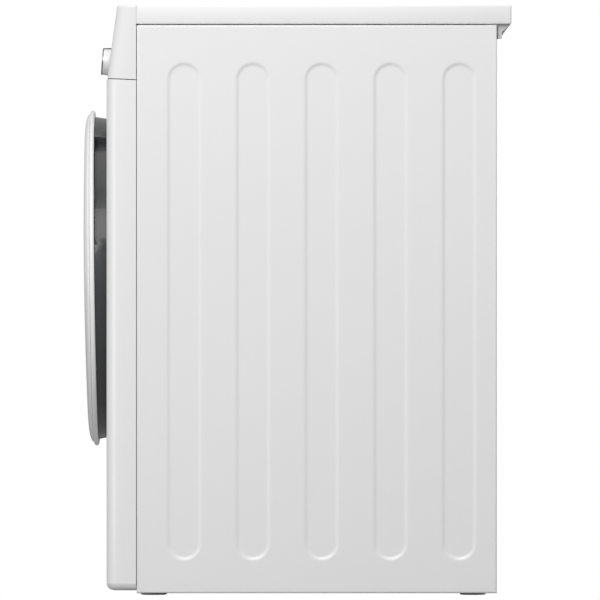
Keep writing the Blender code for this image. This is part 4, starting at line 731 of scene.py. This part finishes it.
# Each head is a low cone with a socket pressed into its face.
for x, z in places:
    at = Matrix.Translation((x, screw_y, z)) @ Matrix.Rotation(-pi / 2, 4, "X")
    tip = 0.7 * SCREW_RADIUS
    head = bmesh.ops.create_cone(
        screws, cap_ends=True, segments=20, radius1=SCREW_RADIUS, radius2=tip, depth=SCREW_HEIGHT, matrix=at
    )
    faces = {face for vert in head["verts"] for face in vert.link_faces if len(face.verts) > 4}
    outer = max(faces, key=lambda face: face.calc_center_median().y)
    bmesh.ops.inset_region(screws, faces=[outer], thickness=0.0011, depth=-0.0004)
placed(new_piece("rear_screws", screws, screw_zinc, 30.0), None)

inlet_black = moulding("inlet_black", (0.025, 0.025, 0.027), roughness=0.5)
spigot_grey = moulding("spigot_grey", (0.33, 0.34, 0.35), roughness=0.5)
dressed("cord_inlet", inlet_black, edge=0.0004)
dressed("drain_spigot", spigot_grey, edge=0.0003)

# ------------------------------------------------------------------------------------------
# Base: a deep grey tray that carries the drive and the heat pump, a zinc brace under the
# worktop, and four levelling feet, each a threaded spindle on a wide grey pad.
PAD_TOP = 0.0117
SPINDLE_RADIUS = 0.0050
THREAD_PITCH = 0.0022
THREAD_DEPTH = 0.0006
CORNERS = ("front_right", "front_left", "rear_right", "rear_left")
base_grey = moulding("base_grey", (0.36, 0.37, 0.38), roughness=0.55)
foot_grey = moulding("foot_grey", (0.66, 0.66, 0.66), roughness=0.5)
dressed("base_tray", base_grey, edge=0.0008)
dressed("cross_brace", rear_zinc, edge=0.0003)
for corner in CORNERS:
    foot_low, foot_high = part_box(f"foot_{corner}")
    pad_radius = (foot_high.x - foot_low.x) / 2
    profile = [(0.0, 0.0), (pad_radius - 0.0020, 0.0), (pad_radius - 0.0004, 0.0008)]
    profile += [(pad_radius, 0.0024), (pad_radius - 0.0006, 0.0040)]
    profile += [(pad_radius - 0.0022, PAD_TOP - 0.0022), (pad_radius - 0.0040, PAD_TOP - 0.0008)]
    profile += [(0.0105, PAD_TOP), (SPINDLE_RADIUS, PAD_TOP)]
    z = PAD_TOP + THREAD_PITCH / 2
    while z + THREAD_PITCH < foot_high.z:
        profile += [(SPINDLE_RADIUS, z), (SPINDLE_RADIUS - THREAD_DEPTH, z + THREAD_PITCH / 2)]
        z += THREAD_PITCH
    profile += [(SPINDLE_RADIUS, z), (SPINDLE_RADIUS, foot_high.z - 0.0006)]
    profile += [(SPINDLE_RADIUS - THREAD_DEPTH, foot_high.z), (0.0, foot_high.z)]
    centre = ((foot_low.x + foot_high.x) / 2, (foot_low.y + foot_high.y) / 2, 0.0)
    stand = Matrix.Translation(centre) @ Matrix.Rotation(pi / 2, 4, "X")
    foot = new_piece(f"foot_{corner}_pad", moved(lathe(profile, 48), stand), foot_grey)
    placed(foot, f"foot_{corner}", f"foot_{corner}_body")

# ------------------------------------------------------------------------------------------
# Drum: a stainless cylinder with two rolled beads, open at the front and closed at the back
# by a still plate with a perforated air inlet, its holes painted as near-black discs of shade. Three white
# lifters tumble the laundry.
DRUM_Z = 0.4900
HOLE_PITCH = 0.0140
HOLE_RADIUS = 0.0035
HOLE_DEPTH = 0.0002
ROW_RISE = HOLE_PITCH * 0.866  # rows of holes set half a pitch apart
INLET_RADIUS = 0.1150
PLATE_GAP = 0.0045  # from the drum's rear edge to the plate
drum_steel = brushed("drum_steel", (0.72, 0.72, 0.71), 0.26, (1.0, 40.0, 1.0))
lifter_white = moulding("lifter_white", (0.78, 0.78, 0.78), roughness=0.38)
bulkhead_grey = moulding("bulkhead_grey", (0.42, 0.43, 0.44), roughness=0.5)
painted_hole_shade = moulding("painted_hole_shade", (0.012, 0.012, 0.013), roughness=0.8)
felt = Finish("seal_felt", (0.42, 0.41, 0.39), 0.95)
fibres = felt.noise(1400.0, 4.0)
felt.tint(felt.blend(fibres, (0.30, 0.29, 0.28, 1.0), (0.52, 0.51, 0.49, 1.0)))
felt.bump(fibres, 0.0004)
dressed("drum", drum_steel, "drum_body", edge=0.0003)
for i in (1, 2, 3):
    dressed(f"drum_lifter_{i}", lifter_white, "drum_body", edge=0.0030)
dressed("front_bulkhead", bulkhead_grey, edge=0.0004)
dressed("rear_bulkhead", rear_zinc, edge=0.0004)
dressed("drum_seal", felt.material)
lamp_clear = Finish("lamp_lens", (0.85, 0.83, 0.75), 0.15, coat=0.6)
lamp_clear.roughen(0.15 + (lamp_clear.noise(300.0) - 0.5) * 0.06)
dressed("drum_lamp", lamp_clear.material, edge=0.0005)
hole_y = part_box("drum")[1].y + PLATE_GAP - HOLE_DEPTH / 2
# The perforations are not cut: near-black discs laid on the plate paint the shade seen through each hole.
hole_shade_discs = bmesh.new()
rows = int(INLET_RADIUS / HOLE_PITCH)
for row in range(-rows, rows + 1):
    for column in range(-rows, rows + 1):
        x = HOLE_PITCH * (column + 0.5 * (row % 2))
        z = ROW_RISE * row
        if x * x + z * z < INLET_RADIUS * INLET_RADIUS:
            at = Matrix.Translation((x, hole_y, DRUM_Z + z)) @ Matrix.Rotation(pi / 2, 4, "X")
            bmesh.ops.create_cone(
                hole_shade_discs, cap_ends=True, segments=12, radius1=HOLE_RADIUS, radius2=HOLE_RADIUS, depth=HOLE_DEPTH,
                matrix=at,
            )
placed(new_piece("air_inlet_hole_shade_discs", hole_shade_discs, painted_hole_shade), None)
roller_black = moulding("roller_black", (0.05, 0.05, 0.05), roughness=0.7)
for corner in CORNERS:
    dressed(f"roller_{corner}", roller_black, f"roller_{corner}_body", edge=0.0008)

# ------------------------------------------------------------------------------------------
# Lint filter: a white frame that lifts out of the sill of the mouth, with a fine grid of
# moulded bars over both faces and a woven screen under each grid.
SCREEN_MARGIN = 0.0100
SCREEN_BARS = (29, 23)
MESH_BAR = 0.0007
GAUZE_DEPTH = 0.0002
UPRIGHT_DEPTH = 0.0004
CROSSBAR_DEPTH = 0.0005
filter_white = moulding("filter_white", (0.80, 0.80, 0.80), roughness=0.42)
screen_grey = moulding("screen_grey", (0.35, 0.36, 0.37), roughness=0.7)
dressed("lint_filter", filter_white, "filter", edge=0.0005)
filter_low, filter_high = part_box("lint_filter")
wide = filter_high.x - filter_low.x - 2 * SCREEN_MARGIN
tall = filter_high.z - filter_low.z - 2 * SCREEN_MARGIN
centre = (filter_low + filter_high) / 2
bars = bmesh.new()
gauze = bmesh.new()
for face, out in ((filter_low.y, -1), (filter_high.y, 1)):
    at = Matrix.Translation((centre.x, face + out * 0.0001, centre.z))
    add_block(gauze, at, (wide, GAUZE_DEPTH, tall))
    for i in range(SCREEN_BARS[0]):
        x = centre.x + wide * (i / (SCREEN_BARS[0] - 1) - 0.5)
        at = Matrix.Translation((x, face + out * 0.0003, centre.z))
        add_block(bars, at, (MESH_BAR, UPRIGHT_DEPTH, tall))
    for i in range(SCREEN_BARS[1]):
        z = centre.z + tall * (i / (SCREEN_BARS[1] - 1) - 0.5)
        at = Matrix.Translation((centre.x, face + out * 0.0002, z))
        add_block(bars, at, (wide, CROSSBAR_DEPTH, MESH_BAR))
placed(new_piece("lint_grid", bars, filter_white), None, "filter")
placed(new_piece("lint_gauze", gauze, screen_grey), None, "filter")

# ------------------------------------------------------------------------------------------
# Drive: a motor on the right of the base turns the drum by a ribbed belt kept tight by a
# sprung idler, and turns the fan that drives the air round.
motor_grey = brushed("motor_grey", (0.45, 0.46, 0.47), 0.45, (1.0, 1.0, 1.0), 0.7)
belt_rubber = moulding("belt_rubber", (0.020, 0.020, 0.021), roughness=0.75, grain=0.000030)
idler_black = moulding("idler_black", (0.03, 0.03, 0.03), roughness=0.5)
fan_grey = moulding("fan_grey", (0.30, 0.31, 0.32), roughness=0.5)
dressed("motor", motor_grey, edge=0.0008)
dressed("motor_shaft", hinge_steel, "motor_rotor", edge=0.0003)
dressed("fan_impeller", fan_grey, "motor_rotor", edge=0.0005)
dressed("fan_housing", fan_grey, edge=0.0010)
dressed("drive_belt", belt_rubber)
dressed("idler_arm", latch_zinc, "idler_arm_body", edge=0.0003)
dressed("idler_pulley", idler_black, "idler_pulley_body", edge=0.0005)

# ------------------------------------------------------------------------------------------
# Heat pump: an evaporator and a condenser of closely set aluminium fins, a black compressor
# can, looped copper pipe and the pump that lifts the condensate to the tank.
FIN_PITCH = 0.0040
FIN_REACH = 0.0010
FIN_SHEET = 0.0006
FIN_INSET = 0.0030
FIN_MARGIN = 0.0050
aluminium = brushed("fin_aluminium", (0.78, 0.79, 0.80), 0.35, (60.0, 1.0, 1.0))
copper = brushed("pipe_copper", (0.72, 0.38, 0.24), 0.30, (1.0, 1.0, 1.0))
compressor_black = moulding("compressor_black", (0.02, 0.02, 0.022), roughness=0.35, coat=0.3)
for node in ("evaporator", "condenser"):
    dressed(node, aluminium, edge=0.0003)
    low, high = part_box(node)
    fins = bmesh.new()
    fin_size = (FIN_SHEET, FIN_REACH, high.z - low.z - 2 * FIN_MARGIN)
    for i in range(int((high.x - low.x - 2 * FIN_INSET) / FIN_PITCH) + 1):
        fin_at = (low.x + FIN_INSET + FIN_PITCH * i, low.y - FIN_REACH / 2, (low.z + high.z) / 2)
        add_block(fins, Matrix.Translation(fin_at), fin_size)
    placed(new_piece(f"{node}_fins", fins, aluminium), None)
dressed("compressor", compressor_black, edge=0.0015)
dressed("refrigerant_pipe", copper)
dressed("condensate_pump", inlet_black, edge=0.0006)

# ------------------------------------------------------------------------------------------
# Control board: a green circuit board behind the console, with its display module, a row of
# electrolytic capacitors and a few flat packages.
CAN_RADIUS = 0.0040
CAN_LENGTH = 0.0056
CAN_AT = (0.020, CAN_LENGTH / 2, 0.018)
CAN_PITCH = 0.022
CHIP_SIZE = (0.014, 0.0024, 0.010)
CHIP_AT = (0.030, CHIP_SIZE[1] / 2, 0.045)
CHIP_PITCH = 0.030
board_green = moulding("board_green", (0.02, 0.16, 0.07), roughness=0.42, grain=0.000006, coat=0.2)
chip_black = moulding("chip_black", (0.02, 0.02, 0.02), roughness=0.5)
dressed("control_board", board_green, edge=0.0002)
board_low, board_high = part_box("control_board")
board_corner = Vector((board_low.x, board_high.y, board_low.z))
parts = bmesh.new()
for i in range(5):
    can_at = board_corner + Vector(CAN_AT) + Vector((CAN_PITCH * i, 0.0, 0.0))
    at = Matrix.Translation(can_at) @ Matrix.Rotation(pi / 2, 4, "X")
    bmesh.ops.create_cone(
        parts, cap_ends=True, segments=20, radius1=CAN_RADIUS, radius2=CAN_RADIUS, depth=CAN_LENGTH, matrix=at
    )
for i in range(4):
    chip_at = board_corner + Vector(CHIP_AT) + Vector((CHIP_PITCH * i, 0.0, 0.0))
    add_block(parts, Matrix.Translation(chip_at), CHIP_SIZE)
placed(new_piece("board_parts", parts, chip_black), None)
